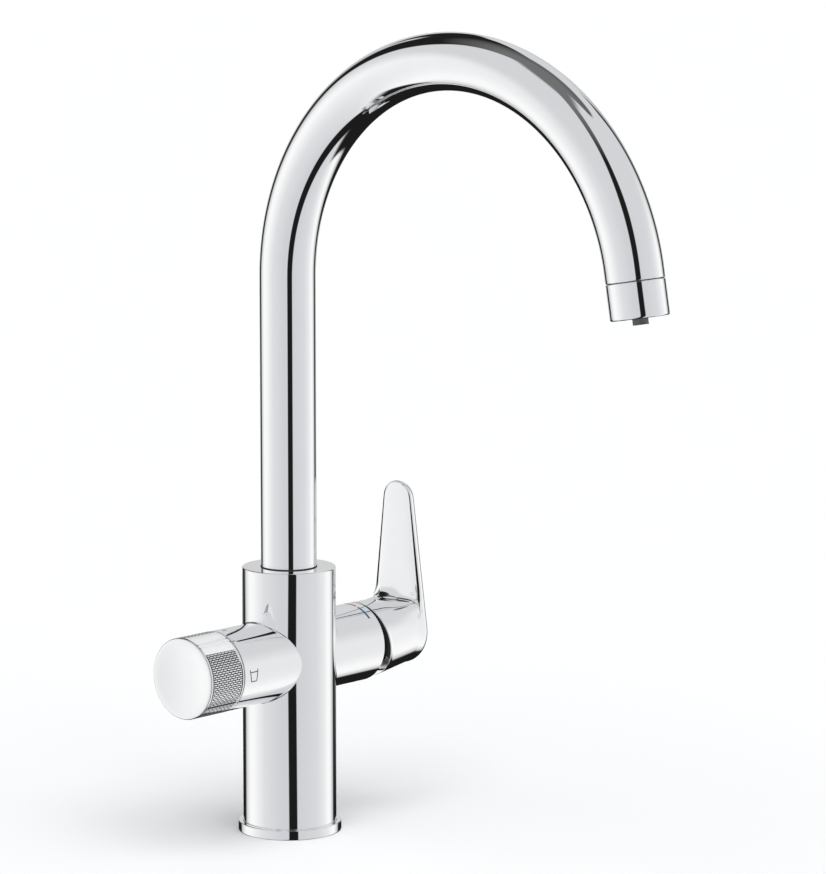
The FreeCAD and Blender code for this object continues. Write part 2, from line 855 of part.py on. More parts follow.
def lever_rim_cut():
    """The slanted slice that leaves the lever's rim close above and open below."""
    top = mixer_branch_reach + lever_top_gap
    bottom = mixer_branch_reach + lever_bottom_gap
    spread = lever_rim_diameter
    slope = (bottom - top) / lever_rim_diameter
    high = top - slope * (spread - lever_rim_diameter / 2)
    low = bottom + slope * (spread - lever_rim_diameter / 2)
    corners = [
        Vector(0, -spread, branch_height + spread),
        Vector(high, -spread, branch_height + spread),
        Vector(low, -spread, branch_height - spread),
        Vector(0, -spread, branch_height - spread),
    ]
    face = Part.Face(Part.makePolygon(corners + corners[:1]))
    return face.extrude(Vector(0, 2 * spread, 0))


def lever_outline(station):
    """The lever seen from its end: the hub's round and the tip's round joined by two tangents."""
    big, small = lever_hub_end_diameter / 2, lever_tip_diameter / 2
    lean = math.asin((big - small) / (lever_tip_height - branch_height))
    across, up = math.cos(lean), math.sin(lean)
    hub_right = Vector(station, big * across, branch_height + big * up)
    hub_left = Vector(station, -big * across, branch_height + big * up)
    tip_right = Vector(station, small * across, lever_tip_height + small * up)
    tip_left = Vector(station, -small * across, lever_tip_height + small * up)
    tip_top = Vector(station, 0, lever_tip_height + small)
    hub_bottom = Vector(station, 0, branch_height - big)
    return Part.Wire(
        [
            Part.LineSegment(hub_right, tip_right).toShape(),
            Part.Arc(tip_right, tip_top, tip_left).toShape(),
            Part.LineSegment(tip_left, hub_left).toShape(),
            Part.Arc(hub_left, hub_bottom, hub_right).toShape(),
        ]
    )


def lever_outer_face():
    """Where the lever's outer face stands at the height of the hub."""
    return lever_blade_inner + lever_blade_thickness


def lever_blade():
    """The lever's blade and hub end, leaning a little towards the column and rounded outside."""
    outer = lever_outer_face()
    reach = lever_tip_height + lever_tip_diameter
    blade = Part.Face(lever_outline(lever_blade_inner)).extrude(Vector(lever_blade_thickness, 0, 0))
    beyond = Part.makeBox(reach, 2 * reach, 3 * reach, Vector(outer, -reach, branch_height - reach))
    beyond.rotate(Vector(outer, 0, branch_height), AXES["y"], -lever_lean)
    blade = blade.cut(beyond)
    rim = []
    for edge in blade.Edges:
        if min(v.X for v in edge.Vertexes) > lever_blade_inner + lever_blade_thickness / 2:
            rim.append(edge)
    return blade.makeFillet(lever_outer_round, rim)


def lever_handle():
    """The lever: a tapered hub cap with the blade rising from its outer end."""
    rim = mixer_branch_reach
    taper = Part.makeCone(
        lever_rim_diameter / 2,
        lever_hub_end_diameter / 2,
        lever_blade_inner - rim,
        Vector(rim, 0, branch_height),
        AXES["x"],
    )
    hub = taper.cut(lever_rim_cut())
    cavity = lever_hub_end_diameter - 2 * lever_wall
    boss = ring("x", cavity, lever_boss_diameter, lever_boss_start, lever_cavity_end, branch_centre)
    half = stem_width / 2 + fit_gap
    socket = block(
        (lever_boss_start, -half, branch_height - half),
        (stem_end + fit_gap, half, branch_height + half),
    )
    wall_hole_start = lever_boss_diameter / 2
    place = (set_screw_station, branch_height)
    return cut_all(
        fused(hub, lever_blade()),
        Part.makeSphere(dome_radius + lever_dome_gap, pivot),
        rod("x", cavity, rim, lever_boss_start, branch_centre),
        boss,
        socket,
        rod("y", set_screw_diameter, 0, wall_hole_start, place),
        rod("y", screw_cap_diameter, wall_hole_start, lever_rim_diameter, place),
    )


def lever_set_screw():
    """The grub screw that clamps the lever on the stem."""
    start = stem_width / 2 + fit_gap
    stop = start + set_screw_length
    place = (set_screw_station, branch_height)
    shank = rod("y", set_screw_diameter - 2 * fit_gap, start, stop, place)
    return shank.cut(hexagon("y", set_screw_socket_across, stop - set_screw_socket_depth, stop, place))


def hub_radius_at(station):
    """The tapered hub's outside radius at a station."""
    reach = min(station, lever_blade_inner) - mixer_branch_reach
    share = reach / (lever_blade_inner - mixer_branch_reach)
    return (lever_rim_diameter + (lever_hub_end_diameter - lever_rim_diameter) * share) / 2


def lever_screw_cap():
    """The little plug over the set screw, flush with the back of the hub."""
    stop = hub_radius_at(set_screw_station) - free_gap
    place = (set_screw_station, branch_height)
    return rod("y", screw_cap_diameter - 2 * fit_gap, stop - screw_cap_length, stop, place)


def valve_gasket():
    """The seal under the filter valve, with its two ports."""
    stop = filter_floor + valve_gasket_thickness
    outer = filter_thread_diameter - 2 * fit_gap
    ports = [rod("x", valve_port_diameter, -stop, -filter_floor, place) for place in valve_places()]
    return cut_all(rod("x", outer, -stop, -filter_floor, branch_centre), *ports)


def valve_disc_seat():
    """Where the filter valve's fixed disc starts."""
    return filter_floor + valve_gasket_thickness


def valve_fixed_disc():
    """The filter valve's lower ceramic disc."""
    start = valve_disc_seat()
    stop = start + valve_disc_thickness
    ports = [rod("x", valve_port_diameter, -stop, -start, place) for place in valve_places()]
    return cut_all(rod("x", valve_disc_diameter, -stop, -start, branch_centre), *ports)


def valve_moving_disc():
    """The filter valve's upper ceramic disc, a quarter cut away."""
    start = valve_disc_seat() + valve_disc_thickness + face_gap
    stop = start + valve_disc_thickness
    radius = valve_disc_diameter / 2
    notch = block(
        (-stop, valve_port_diameter / 2, branch_height + valve_port_diameter / 2),
        (-start, radius, branch_height + radius),
    )
    return rod("x", valve_disc_diameter, -stop, -start, branch_centre).cut(notch)


def spindle_start():
    """Where the spindle's foot meets the moving disc."""
    return valve_disc_seat() + 2 * valve_disc_thickness + face_gap


def spindle_shoulder():
    """Where the spindle's flange stops against the headpart."""
    return spindle_start() + spindle_flange_thickness + 2 * face_gap


def valve_headpart():
    """The brass headpart screwed into the filter branch."""
    hex_end = filter_thread_end + valve_hex_length
    start = valve_disc_seat()
    body = fused(
        rod("x", filter_thread_diameter - 2 * fit_gap, -filter_thread_end, -start, branch_centre),
        hexagon("x", valve_hex_across, -hex_end, -filter_thread_end, branch_centre),
        rod("x", valve_neck_diameter, -valve_neck_end, -hex_end, branch_centre),
    )
    return cut_all(
        body,
        rod("x", valve_bore_diameter, -spindle_shoulder(), -start, branch_centre),
        rod("x", spindle_diameter + 2 * running_gap, -valve_neck_end, -spindle_shoulder(), branch_centre),
    )


def spindle_clip_start():
    """Where the clip sits on the spindle, just outside the headpart."""
    return valve_neck_end + 2 * face_gap


def valve_spindle():
    """The spindle that the knob turns, grooved for its seal and clip and flatted at its end."""
    start, flange_end = spindle_start(), spindle_start() + spindle_flange_thickness
    body = fused(
        rod("x", spindle_flange_diameter, -flange_end, -start, branch_centre),
        rod("x", spindle_diameter, -spindle_end, -flange_end, branch_centre),
    )
    seal_floor = spindle_diameter + 2 * running_gap - 2 * spindle_seal_section - 2 * fit_gap
    half = spindle_seal_section / 2 + fit_gap
    overcut = spindle_diameter + groove_overcut
    low, high = -spindle_seal_station - half, half - spindle_seal_station
    seal_groove = ring("x", overcut, seal_floor, low, high, branch_centre)
    clip_floor = spindle_diameter - 2 * spindle_clip_depth
    clip_start = spindle_clip_start()
    clip_stop = clip_start + spindle_clip_thickness
    clip_groove = ring("x", overcut, clip_floor, -clip_stop, -clip_start, branch_centre)
    flat_height = branch_height + spindle_diameter / 2 - spindle_flat_depth
    flat = block(
        (-spindle_end, -spindle_diameter, flat_height),
        (-knob_insert_start, spindle_diameter, flat_height + spindle_diameter),
    )
    return cut_all(body, seal_groove, clip_groove, flat)


def spindle_seal():
    """The seal on the spindle inside the headpart."""
    return o_ring("x", spindle_diameter, spindle_seal_section, -spindle_seal_station, branch_centre)


def spindle_clip():
    """The clip that keeps the spindle in the headpart."""
    start = spindle_clip_start() + fit_gap
    stop = spindle_clip_start() + spindle_clip_thickness - fit_gap
    inner = spindle_diameter - 2 * spindle_clip_depth + 2 * fit_gap
    whole = ring("x", spindle_clip_diameter, inner, -stop, -start, branch_centre)
    mouth = block(
        (-stop, -inner / 2 + spindle_clip_depth, branch_height - spindle_clip_diameter),
        (-start, inner / 2 - spindle_clip_depth, branch_height),
    )
    return whole.cut(mouth)


def knob_inner_diameter():
    """The inside of the knob's skirt."""
    return knob_diameter - 2 * knob_wall


def knob_screw_end():
    """How far the knob's grub screw reaches from the axis."""
    return knob_boss_diameter / 2


def filter_knob():
    """The plated knob: a cup with a boss for its insert."""
    shell = rod("x", knob_diameter, -knob_face, -knob_start, branch_centre)
    shell = rounded(shell, knob_face_round, ("x", -knob_face, knob_diameter))
    hollow_end = knob_face - knob_face_thickness
    hollow = cut_all(
        rod("x", knob_inner_diameter(), -hollow_end, -knob_start, branch_centre),
        rod("x", knob_boss_diameter, -hollow_end, -knob_boss_start, branch_centre),
    )
    socket = rod("x", knob_insert_diameter + 2 * fit_gap, -knob_insert_end, -knob_boss_start, branch_centre)
    place = (-knob_screw_station, 0.0)
    access = rod("z", knob_screw_diameter, branch_height - knob_diameter, branch_height, place)
    return cut_all(shell, hollow, socket, access)


def knob_insert():
    """The plastic insert between the knob and the spindle's flat."""
    whole = rod("x", knob_insert_diameter, -knob_insert_end, -knob_insert_start, branch_centre)
    flat_height = branch_height + spindle_diameter / 2 - spindle_flat_depth + fit_gap
    hole = rod("x", spindle_diameter + 2 * fit_gap, -spindle_end - fit_gap, -knob_insert_start, branch_centre)
    above = block(
        (-knob_insert_end, -spindle_diameter, flat_height),
        (-knob_insert_start, spindle_diameter, flat_height + spindle_diameter),
    )
    place = (-knob_screw_station, 0.0)
    screw_hole = rod("z", knob_screw_diameter, branch_height - knob_insert_diameter, branch_height, place)
    return cut_all(whole, hole.cut(above), screw_hole)


def knob_set_screw():
    """The grub screw under the knob that holds it on the spindle."""
    top = branch_height - spindle_diameter / 2 - fit_gap
    bottom = branch_height - knob_screw_end()
    place = (-knob_screw_station, 0.0)
    shank = rod("z", knob_screw_diameter - 2 * fit_gap, bottom, top, place)
    return shank.cut(hexagon("z", knob_screw_socket_across, bottom, bottom + knob_screw_socket_depth, place))


def knob_guide_ring():
    """The plastic ring in the branch's mouth that the knob's skirt turns on."""
    outer = min(filter_clearance_diameter - 2 * fit_gap, knob_inner_diameter() - 4 * running_gap)
    inner = outer - 2 * guide_ring_wall
    return ring("x", outer, inner, -guide_ring_end, -guide_ring_start, branch_centre)


PIECES = {
    "body_casting": body_casting,
    "base_ring": base_ring,
    "base_gasket": base_gasket,
    "inlet_manifold": inlet_manifold,
    "manifold_seals": manifold_seals,
    "manifold_circlip": manifold_circlip,
    "filter_nipple": filter_nipple,
    "spout_tube": spout_tube,
    "filter_pipe": filter_pipe,
    "spout_foot": spout_foot,
    "spout_seals": spout_seals,
    "spout_slide_rings": spout_slide_rings,
    "spout_lock_screw": spout_lock_screw,
    "outlet_sleeve": outlet_sleeve,
    "outlet_seal": outlet_seal,
    "flow_screen": flow_screen,
    "flow_insert": flow_insert,
    "filter_nozzle": filter_nozzle,
    "cartridge_base": cartridge_base,
    "cartridge_seals": cartridge_seals,
    "fixed_disc": fixed_disc,
    "moving_disc": moving_disc,
    "disc_carrier": disc_carrier,
    "cartridge_housing": cartridge_housing,
    "cartridge_rotor": cartridge_rotor,
    "stem_pivot_pin": stem_pivot_pin,
    "control_stem": control_stem,
    "cartridge_nut": cartridge_nut,
    "dome_cap": dome_cap,
    "lever_handle": lever_handle,
    "lever_set_screw": lever_set_screw,
    "lever_screw_cap": lever_screw_cap,
    "valve_gasket": valve_gasket,
    "valve_fixed_disc": valve_fixed_disc,
    "valve_moving_disc": valve_moving_disc,
    "valve_headpart": valve_headpart,
    "valve_spindle": valve_spindle,
    "spindle_seal": spindle_seal,
    "spindle_clip": spindle_clip,
    "filter_knob": filter_knob,
    "knob_insert": knob_insert,
    "knob_set_screw": knob_set_screw,
    "knob_guide_ring": knob_guide_ring,
}


def main():
    os.makedirs("parts", exist_ok=True)
    for name, make in PIECES.items():
        shape = make()
        shape.exportStep(os.path.join("parts", name + ".step"))
        print(name, len(shape.Solids), "solid(s)", round(shape.Volume, 1), "mm3", shape.isValid())
    print("lever pivot at", tuple(round(v, 3) for v in pivot), "disc travel", round(disc_travel, 3))


main()
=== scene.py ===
"""A three-way kitchen tap: its plated pieces, their finishes, the studio and the camera.

Sizes are millimetres in the frame's own axes: +Z up the column, the spout to -Y, the lever at +X
and the knob at -X. They turn into metres only where a mesh is handed to the scene.
"""

import json
import logging
import math
from dataclasses import dataclass, field
from enum import Enum
from typing import Iterable, Sequence

import bmesh
import bpy
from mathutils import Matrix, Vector


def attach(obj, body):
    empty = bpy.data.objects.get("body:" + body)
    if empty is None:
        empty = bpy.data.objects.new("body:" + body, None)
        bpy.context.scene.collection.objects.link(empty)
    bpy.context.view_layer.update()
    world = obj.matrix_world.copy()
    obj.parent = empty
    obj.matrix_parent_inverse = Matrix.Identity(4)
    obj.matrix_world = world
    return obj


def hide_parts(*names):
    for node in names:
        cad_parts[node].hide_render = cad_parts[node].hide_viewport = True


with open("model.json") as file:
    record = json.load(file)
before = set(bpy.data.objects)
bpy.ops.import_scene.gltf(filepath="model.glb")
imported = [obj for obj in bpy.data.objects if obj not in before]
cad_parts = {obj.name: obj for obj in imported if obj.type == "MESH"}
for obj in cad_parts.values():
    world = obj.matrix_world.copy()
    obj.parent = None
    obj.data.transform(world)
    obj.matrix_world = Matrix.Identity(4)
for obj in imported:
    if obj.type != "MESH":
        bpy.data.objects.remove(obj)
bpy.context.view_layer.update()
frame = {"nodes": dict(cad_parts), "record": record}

MM = 0.001
IMAGE_WIDTH, IMAGE_HEIGHT = 826, 874
X_AXIS = Vector((1.0, 0.0, 0.0))
Y_AXIS = Vector((0.0, 1.0, 0.0))
Z_AXIS = Vector((0.0, 0.0, 1.0))
BRANCH_HEIGHT = 89.0

log = logging.getLogger("tap")

Colour = tuple[float, float, float]
Spot = tuple[float, float]
Corner = tuple[float, float, float]


def between(first: float, last: float, share: float) -> float:
    """Gives the value that lies a share of the way from first to last."""
    return first + (last - first) * share


def held(value: float) -> float:
    """Holds a value between 0 and 1."""
    return min(max(value, 0.0), 1.0)


def quarter(steps: int) -> list[float]:
    """Gives the angles of a quarter turn, from 0 to its end, in radians."""
    return [math.radians(90 * k / steps) for k in range(steps + 1)]


def full_turn(count: int) -> list[float]:
    """Gives the angles of points spread evenly round a circle, in radians."""
    return [2 * math.pi * i / count for i in range(count)]


class Body(str, Enum):
    """The bodies that pieces ride on."""

    TAP = "tap_body"
    SPOUT = "swivel_spout"
    LEVER = "lever"
    KNOB = "knob"


class Slot(str, Enum):
    """The record's material slots."""

    CHROME = "chrome_plate"
    BRASS = "brass"
    STEEL = "stainless_steel"
    CERAMIC = "alumina"
    RUBBER = "black_rubber"
    WHITE = "white_plastic"
    GREY = "grey_plastic"


class Grain(Enum):
    """What the fine texture of a surface is made of."""

    CLOUDS = "clouds"
    TURNING = "turning lines"
    CELLS = "moulded cells"


class Graph:
    """A node tree with short calls for the nodes that the finishes use."""

    def __init__(self, tree: bpy.types.NodeTree) -> None:
        """Empties a tree, ready for its nodes."""
        self.tree = tree
        tree.nodes.clear()

    def add(self, kind: str, **settings: object) -> bpy.types.Node:
        """Adds a node.

        Args:
            kind: The node's type, such as ShaderNodeBump.
            **settings: Properties of the node.

        Returns:
            The new node.
        """
        node = self.tree.nodes.new(kind)
        for key, value in settings.items():
            setattr(node, key, value)
        return node

    def feed(self, node: bpy.types.Node, **inputs: object) -> bpy.types.Node:
        """Sets or links a node's inputs.

        Args:
            node: The node to feed.
            **inputs: Values or sockets by input name, with _ for a space, or by number as i0, i1.

        Returns:
            The same node.
        """
        for key, value in inputs.items():
            number = key[1:]
            socket = node.inputs[int(number)] if number.isdigit() else node.inputs[key.replace("_", " ")]
            if isinstance(value, bpy.types.NodeSocket):
                self.tree.links.new(value, socket)
            else:
                socket.default_value = value
        return node

    def sum(self, operation: str, *values: object) -> bpy.types.NodeSocket:
        """Works out one arithmetic step.

        Args:
            operation: The Math node's operation.
            *values: Numbers or sockets, in order.

        Returns:
            The result's socket.
        """
        node = self.add("ShaderNodeMath", operation=operation)
        self.feed(node, **{f"i{i}": value for i, value in enumerate(values)})
        return node.outputs[0]

    def step(self, value: object, start: float, stop: float) -> bpy.types.NodeSocket:
        """Turns a value into 0 at start, 1 at stop and a soft slope between.

        Args:
            value: The socket to read.
            start: Where the step begins.
            stop: Where the step is complete, which may be below start.

        Returns:
            The result's socket.
        """
        node = self.add("ShaderNodeMapRange", interpolation_type="SMOOTHSTEP")
        self.feed(node, Value=value, From_Min=start, From_Max=stop)
        return node.outputs["Result"]

    def spread(self, value: object, low: float, high: float) -> bpy.types.NodeSocket:
        """Maps a value of 0 to 1 onto low to high and returns the result's socket."""
        node = self.add("ShaderNodeMapRange")
        self.feed(node, Value=value, To_Min=low, To_Max=high)
        return node.outputs["Result"]

    def ramp(self, value: object, stops: Sequence[tuple[float, Colour]]) -> bpy.types.NodeSocket:
        """Colours a value of 0 to 1.

        Args:
            value: The socket to read.
            stops: Places from 0 to 1 with their colours, in order.

        Returns:
            The colour's socket.
        """
        node = self.add("ShaderNodeValToRGB")
        elements = node.color_ramp.elements
        for i, (place, colour) in enumerate(stops):
            element = elements[i] if i < len(elements) else elements.new(place)
            element.position = place
            element.color = (*colour, 1.0)
        self.feed(node, Fac=value)
        return node.outputs["Color"]

    def blend(self, factor: object, first: object, second: object) -> bpy.types.NodeSocket:
        """Mixes two colours by a factor and returns the colour's socket."""
        node = self.add("ShaderNodeMix", data_type="RGBA")
        self.feed(node, i0=factor, i6=first, i7=second)
        return node.outputs[2]


@dataclass(frozen=True)
class Finish:
    """One surface finish, drawn by nodes from its sizes.

    Fields: the material's name, its record slot, colour, metallic share, roughness, the grain's kind
    and cell size, how far grain moves colour and roughness, its height, and its stretch along X, Y, Z.
    """

    name: str
    slot: Slot | None
    colour: Colour
    metallic: float
    roughness: float
    grain: Grain
    cell: float
    tint: float
    gloss_change: float
    relief: float
    stretch: tuple[float, float, float] = (1.0, 1.0, 1.0)

    TINT_STOPS = (0.3, 0.7)
    CELL_SMOOTHNESS = 0.6
    NOISE = {Grain.TURNING: (4.0, 0.7), Grain.CLOUDS: (3.0, 0.55)}

    def texture(self, graph: Graph) -> bpy.types.NodeSocket:
        """Draws the grain.

        Args:
            graph: The material's node graph.

        Returns:
            The socket that carries the grain, from 0 to 1.
        """
        place = graph.add("ShaderNodeTexCoord").outputs["Object"]
        mapping = graph.feed(graph.add("ShaderNodeMapping"), Vector=place, Scale=self.stretch)
        spot = mapping.outputs["Vector"]
        scale = 1.0 / (self.cell * MM)
        if self.grain is Grain.CELLS:
            node = graph.add("ShaderNodeTexVoronoi", feature="SMOOTH_F1")
            graph.feed(node, Vector=spot, Scale=scale, Smoothness=self.CELL_SMOOTHNESS)
            return node.outputs["Distance"]
        detail, roughness = self.NOISE[self.grain]
        node = graph.add("ShaderNodeTexNoise")
        return graph.feed(node, Vector=spot, Scale=scale, Detail=detail, Roughness=roughness).outputs[0]

    def material(self) -> bpy.types.Material:
        """Makes the material, or finds it if it is already there.

        Returns:
            The node material.
        """
        found = bpy.data.materials.get(self.name)
        if found:
            return found
        material = bpy.data.materials.new(self.name)
        material.use_nodes = True
        graph = Graph(material.node_tree)
        grain = self.texture(graph)
        dark = tuple(c * (1.0 - self.tint) for c in self.colour)
        colour = graph.ramp(grain, list(zip(self.TINT_STOPS, (dark, self.colour))))
        low = max(self.roughness - self.gloss_change, 0.0)
        roughness = graph.spread(grain, low, self.roughness + self.gloss_change)
        shader = graph.add("ShaderNodeBsdfPrincipled")
        graph.feed(shader, Base_Color=colour, Roughness=roughness, Metallic=self.metallic)
        if self.relief > 0:
            bump = graph.feed(graph.add("ShaderNodeBump"), Height=grain, Distance=self.relief * MM)
            graph.feed(shader, Normal=bump.outputs["Normal"])
        output = graph.add("ShaderNodeOutputMaterial")
        graph.feed(output, Surface=shader.outputs["BSDF"])
        return material


class Finishes:
    """The finishes of this tap."""

    CHROME = Finish("polished_chrome", Slot.CHROME, (0.95, 0.953, 0.96), 1.0, 0.028, Grain.CLOUDS,
                    9.0, 0.012, 0.012, 0.0)
    # Painted shade: a dark chrome on the knurl's groove walls that stands in for the shade in its recesses.
    GROOVE_SHADE = Finish("knurl_groove_painted_shade", Slot.CHROME, (0.2, 0.205, 0.21), 1.0, 0.3, Grain.CLOUDS,
                    0.4, 0.25, 0.08, 0.0)
    STRIP = Finish("buffed_strip", Slot.CHROME, (0.95, 0.953, 0.96), 0.4, 0.22, Grain.CLOUDS,
                   0.6, 0.012, 0.03, 0.0)
    SATIN = Finish("satin_chrome", Slot.CHROME, (0.95, 0.953, 0.96), 1.0, 0.38, Grain.CLOUDS,
                   0.6, 0.03, 0.04, 0.002)
    # Painted shade: a black stand-in for the shade inside the lever's hollow and in the gap at its rim.
    HOLLOW_SHADE = Finish("painted_shade_hollow", Slot.CHROME, (0.012, 0.012, 0.013), 0.0, 0.5, Grain.CLOUDS,
                    1.5, 0.2, 0.1, 0.01)
    BRASS = Finish("turned_brass", Slot.BRASS, (0.78, 0.6, 0.32), 1.0, 0.27, Grain.TURNING,
                   0.9, 0.12, 0.09, 0.01, (0.2, 0.2, 1.0))
    STEEL = Finish("drawn_steel", Slot.STEEL, (0.66, 0.66, 0.67), 1.0, 0.24, Grain.TURNING,
                   0.6, 0.1, 0.08, 0.006, (0.15, 1.0, 1.0))
    CERAMIC = Finish("lapped_ceramic", Slot.CERAMIC, (0.93, 0.92, 0.9), 0.0, 0.2, Grain.CLOUDS,
                     0.35, 0.04, 0.05, 0.002)
    RUBBER = Finish("seal_rubber", Slot.RUBBER, (0.03, 0.03, 0.03), 0.0, 0.72, Grain.CLOUDS,
                    0.5, 0.3, 0.1, 0.02)
    WHITE = Finish("moulded_white_plastic", Slot.WHITE, (0.86, 0.86, 0.84), 0.0, 0.42, Grain.CELLS,
                   0.5, 0.03, 0.06, 0.008)
    GREY = Finish("moulded_grey_plastic", Slot.GREY, (0.085, 0.088, 0.092), 0.0, 0.38, Grain.CELLS,
                  0.45, 0.12, 0.08, 0.012)
    RED_INK = Finish("red_ink", None, (0.52, 0.095, 0.022), 0.0, 0.35, Grain.CLOUDS,
                     0.3, 0.15, 0.06, 0.004)
    BLUE_INK = Finish("blue_ink", None, (0.005, 0.115, 0.25), 0.0, 0.35, Grain.CLOUDS,
                      0.3, 0.15, 0.06, 0.004)
    GREY_INK = Finish("grey_ink", None, (0.07, 0.075, 0.085), 0.0, 0.4, Grain.CLOUDS,
                      0.3, 0.15, 0.06, 0.004)

    @classmethod
    def by_slot(cls) -> dict[str, Finish]:
        """Gives the finish of each record slot."""
        made = [cls.CHROME, cls.BRASS, cls.STEEL, cls.CERAMIC, cls.RUBBER, cls.WHITE, cls.GREY]
        return {finish.slot.value: finish for finish in made}


class Draft:
    """A mesh being drawn in millimetres, ring by ring."""

    MERGE_DISTANCE = 0.01
    SHARP_ANGLE = 32.0

    def __init__(self) -> None:
        """Starts with nothing drawn."""
        self.points: list[Vector] = []
        self.faces: list[tuple[int, ...]] = []
        self.looks: dict[int, int] = {}

    def ring(self, points: Iterable[Vector]) -> list[int]:
        """Adds points and returns their numbers."""
        start = len(self.points)
        self.points.extend(points)
        return list(range(start, len(self.points)))

    def face(self, *numbers: int, look: int = 0) -> None:
        """Adds one face by its points' numbers and the number of its finish."""
        if look:
            self.looks[len(self.faces)] = look
        self.faces.append(numbers)

    def band(self, first: Sequence[int], second: Sequence[int], look: int = 0) -> None:
        """Joins two closed rings with four-sided faces.

        Args:
            first: The numbers of one ring.
            second: The numbers of the other, as many.
            look: The number of the faces' finish.
        """
        count = len(first)
        for i in range(count):
            j = (i + 1) % count
            self.face(first[i], first[j], second[j], second[i], look=look)

    def skin(self, rings: Sequence[Sequence[int]], looped: bool = False, look: int = 0) -> None:
        """Joins closed rings one after another.

        Args:
            rings: The rings in order.
            looped: Whether the last ring joins the first.
            look: The number of the faces' finish.
        """
        for first, second in zip(rings, rings[1:]):
            self.band(first, second, look)
        if looped:
            self.band(rings[-1], rings[0], look)

    def piece(self, name: str, finish: Finish, body: Body, *nodes: str,
              others: Sequence[Finish] = ()) -> bpy.types.Object:
        """Turns the draft into a smooth closed piece of the tap.

        Args:
            name: The piece's name.
            finish: Its finish.
            body: The body that it rides on.
            *nodes: The frame's nodes that it stands for.
            others: Its further finishes, numbered from one.

        Returns:
            The new object.
        """
        mesh = bpy.data.meshes.new(name)
        mesh.from_pydata([p * MM for p in self.points], [], self.faces)
        for number, look in self.looks.items():
            mesh.polygons[number].material_index = look
        work = bmesh.new()
        work.from_mesh(mesh)
        bmesh.ops.remove_doubles(work, verts=work.verts, dist=self.MERGE_DISTANCE * MM)
        bmesh.ops.recalc_face_normals(work, faces=work.faces)
        open_edges = sum(not edge.is_manifold for edge in work.edges)
        work.to_mesh(mesh)
        work.free()
        mesh.shade_smooth()
        mesh.set_sharp_from_angle(angle=math.radians(self.SHARP_ANGLE))
        for used in (finish, *others):
            mesh.materials.append(used.material())
        made = bpy.data.objects.new(name, mesh)
        bpy.context.scene.collection.objects.link(made)
        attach(made, body.value)
        if nodes:
            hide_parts(*nodes)
        log.info("%s: %d faces on %s, %d open edges", name, len(mesh.polygons), body.value, open_edges)
        return made


@dataclass(frozen=True)
class Axis:
    """A turning axis: a profile's stations run along it and its angles start at the across direction."""

    origin: Vector
    along: Vector
    across: Vector

    def at(self, station: float, radius: float, angle: float) -> Vector:
        """Finds a point.

        Args:
            station: How far along the axis.
            radius: How far from the axis.
            angle: The turn about the axis in radians.

        Returns:
            The point.
        """
        side = self.across.cross(self.along)
        outward = self.across * math.cos(angle) + side * math.sin(angle)
        return self.origin + self.along * station + outward * radius


COLUMN_LINE = Axis(Vector((0.0, 0.0, 0.0)), Z_AXIS, X_AXIS)
BRANCH_LINE = Axis(Vector((0.0, 0.0, BRANCH_HEIGHT)), X_AXIS, Z_AXIS)


class Turned:
    """Profiles with rounded corners, and what a lathe makes of them."""

    SUPPORT = 0.12
    ARC_STEPS = 6

    @classmethod
    def rounded(cls, corners: Sequence[Corner], closed: bool = True) -> list[Spot]:
        """Rounds a profile's corners and holds its flats with extra spots beside each corner.

        Args:
            corners: Station, radius and rounding of each corner.
            closed: Whether the profile returns to its start.

        Returns:
            The profile's spots as station and radius.
        """
        spots: list[Vector] = []
        count = len(corners)
        for i, (station, radius, rounding) in enumerate(corners):
            here = Vector((station, radius))
            if rounding == 0:
                spots.append(here)
                continue
            back = (Vector(corners[i - 1][:2]) - here).normalized()
            onward = (Vector(corners[(i + 1) % count][:2]) - here).normalized()
            half = back.angle(onward) / 2
            centre = here + (back + onward).normalized() * (rounding / math.sin(half))
            start = here + back * (rounding / math.tan(half)) - centre
            stop = here + onward * (rounding / math.tan(half)) - centre
            sweep = start.angle(stop)
            for k in range(cls.ARC_STEPS + 1):
                share = k / cls.ARC_STEPS
                turned = start * math.sin((1 - share) * sweep) + stop * math.sin(share * sweep)
                spots.append(centre + turned / math.sin(sweep))
        return cls.supported(spots, closed)

    @classmethod
    def supported(cls, spots: Sequence[Vector], closed: bool) -> list[Spot]:
        """Adds a spot near both ends of each long straight run.

        Args:
            spots: The profile's spots.
            closed: Whether the profile returns to its start.

        Returns:
            The profile with the extra spots.
        """
        result: list[Spot] = []
        count = len(spots)
        for i, here in enumerate(spots):
            result.append((here.x, here.y))
            if i == count - 1 and not closed:
                break
            run = spots[(i + 1) % count] - here
            if run.length > 4 * cls.SUPPORT:
                near = run.normalized() * cls.SUPPORT
                result.append(tuple(here + near))
                result.append(tuple(here + run - near))
        return result

    @staticmethod
    def lathe(draft: Draft, axis: Axis, spots: Sequence[Spot], count: int, closed: bool = True) -> None:
        """Turns a profile about an axis.

        Args:
            draft: The draft that takes the faces.
            axis: The turning axis.
            spots: The profile's spots.
            count: How many points go round.
            closed: Whether the profile's end joins its start.
        """
        angles = full_turn(count)
        rings = [draft.ring(axis.at(station, radius, a) for a in angles) for station, radius in spots]
        draft.skin(rings, looped=closed)


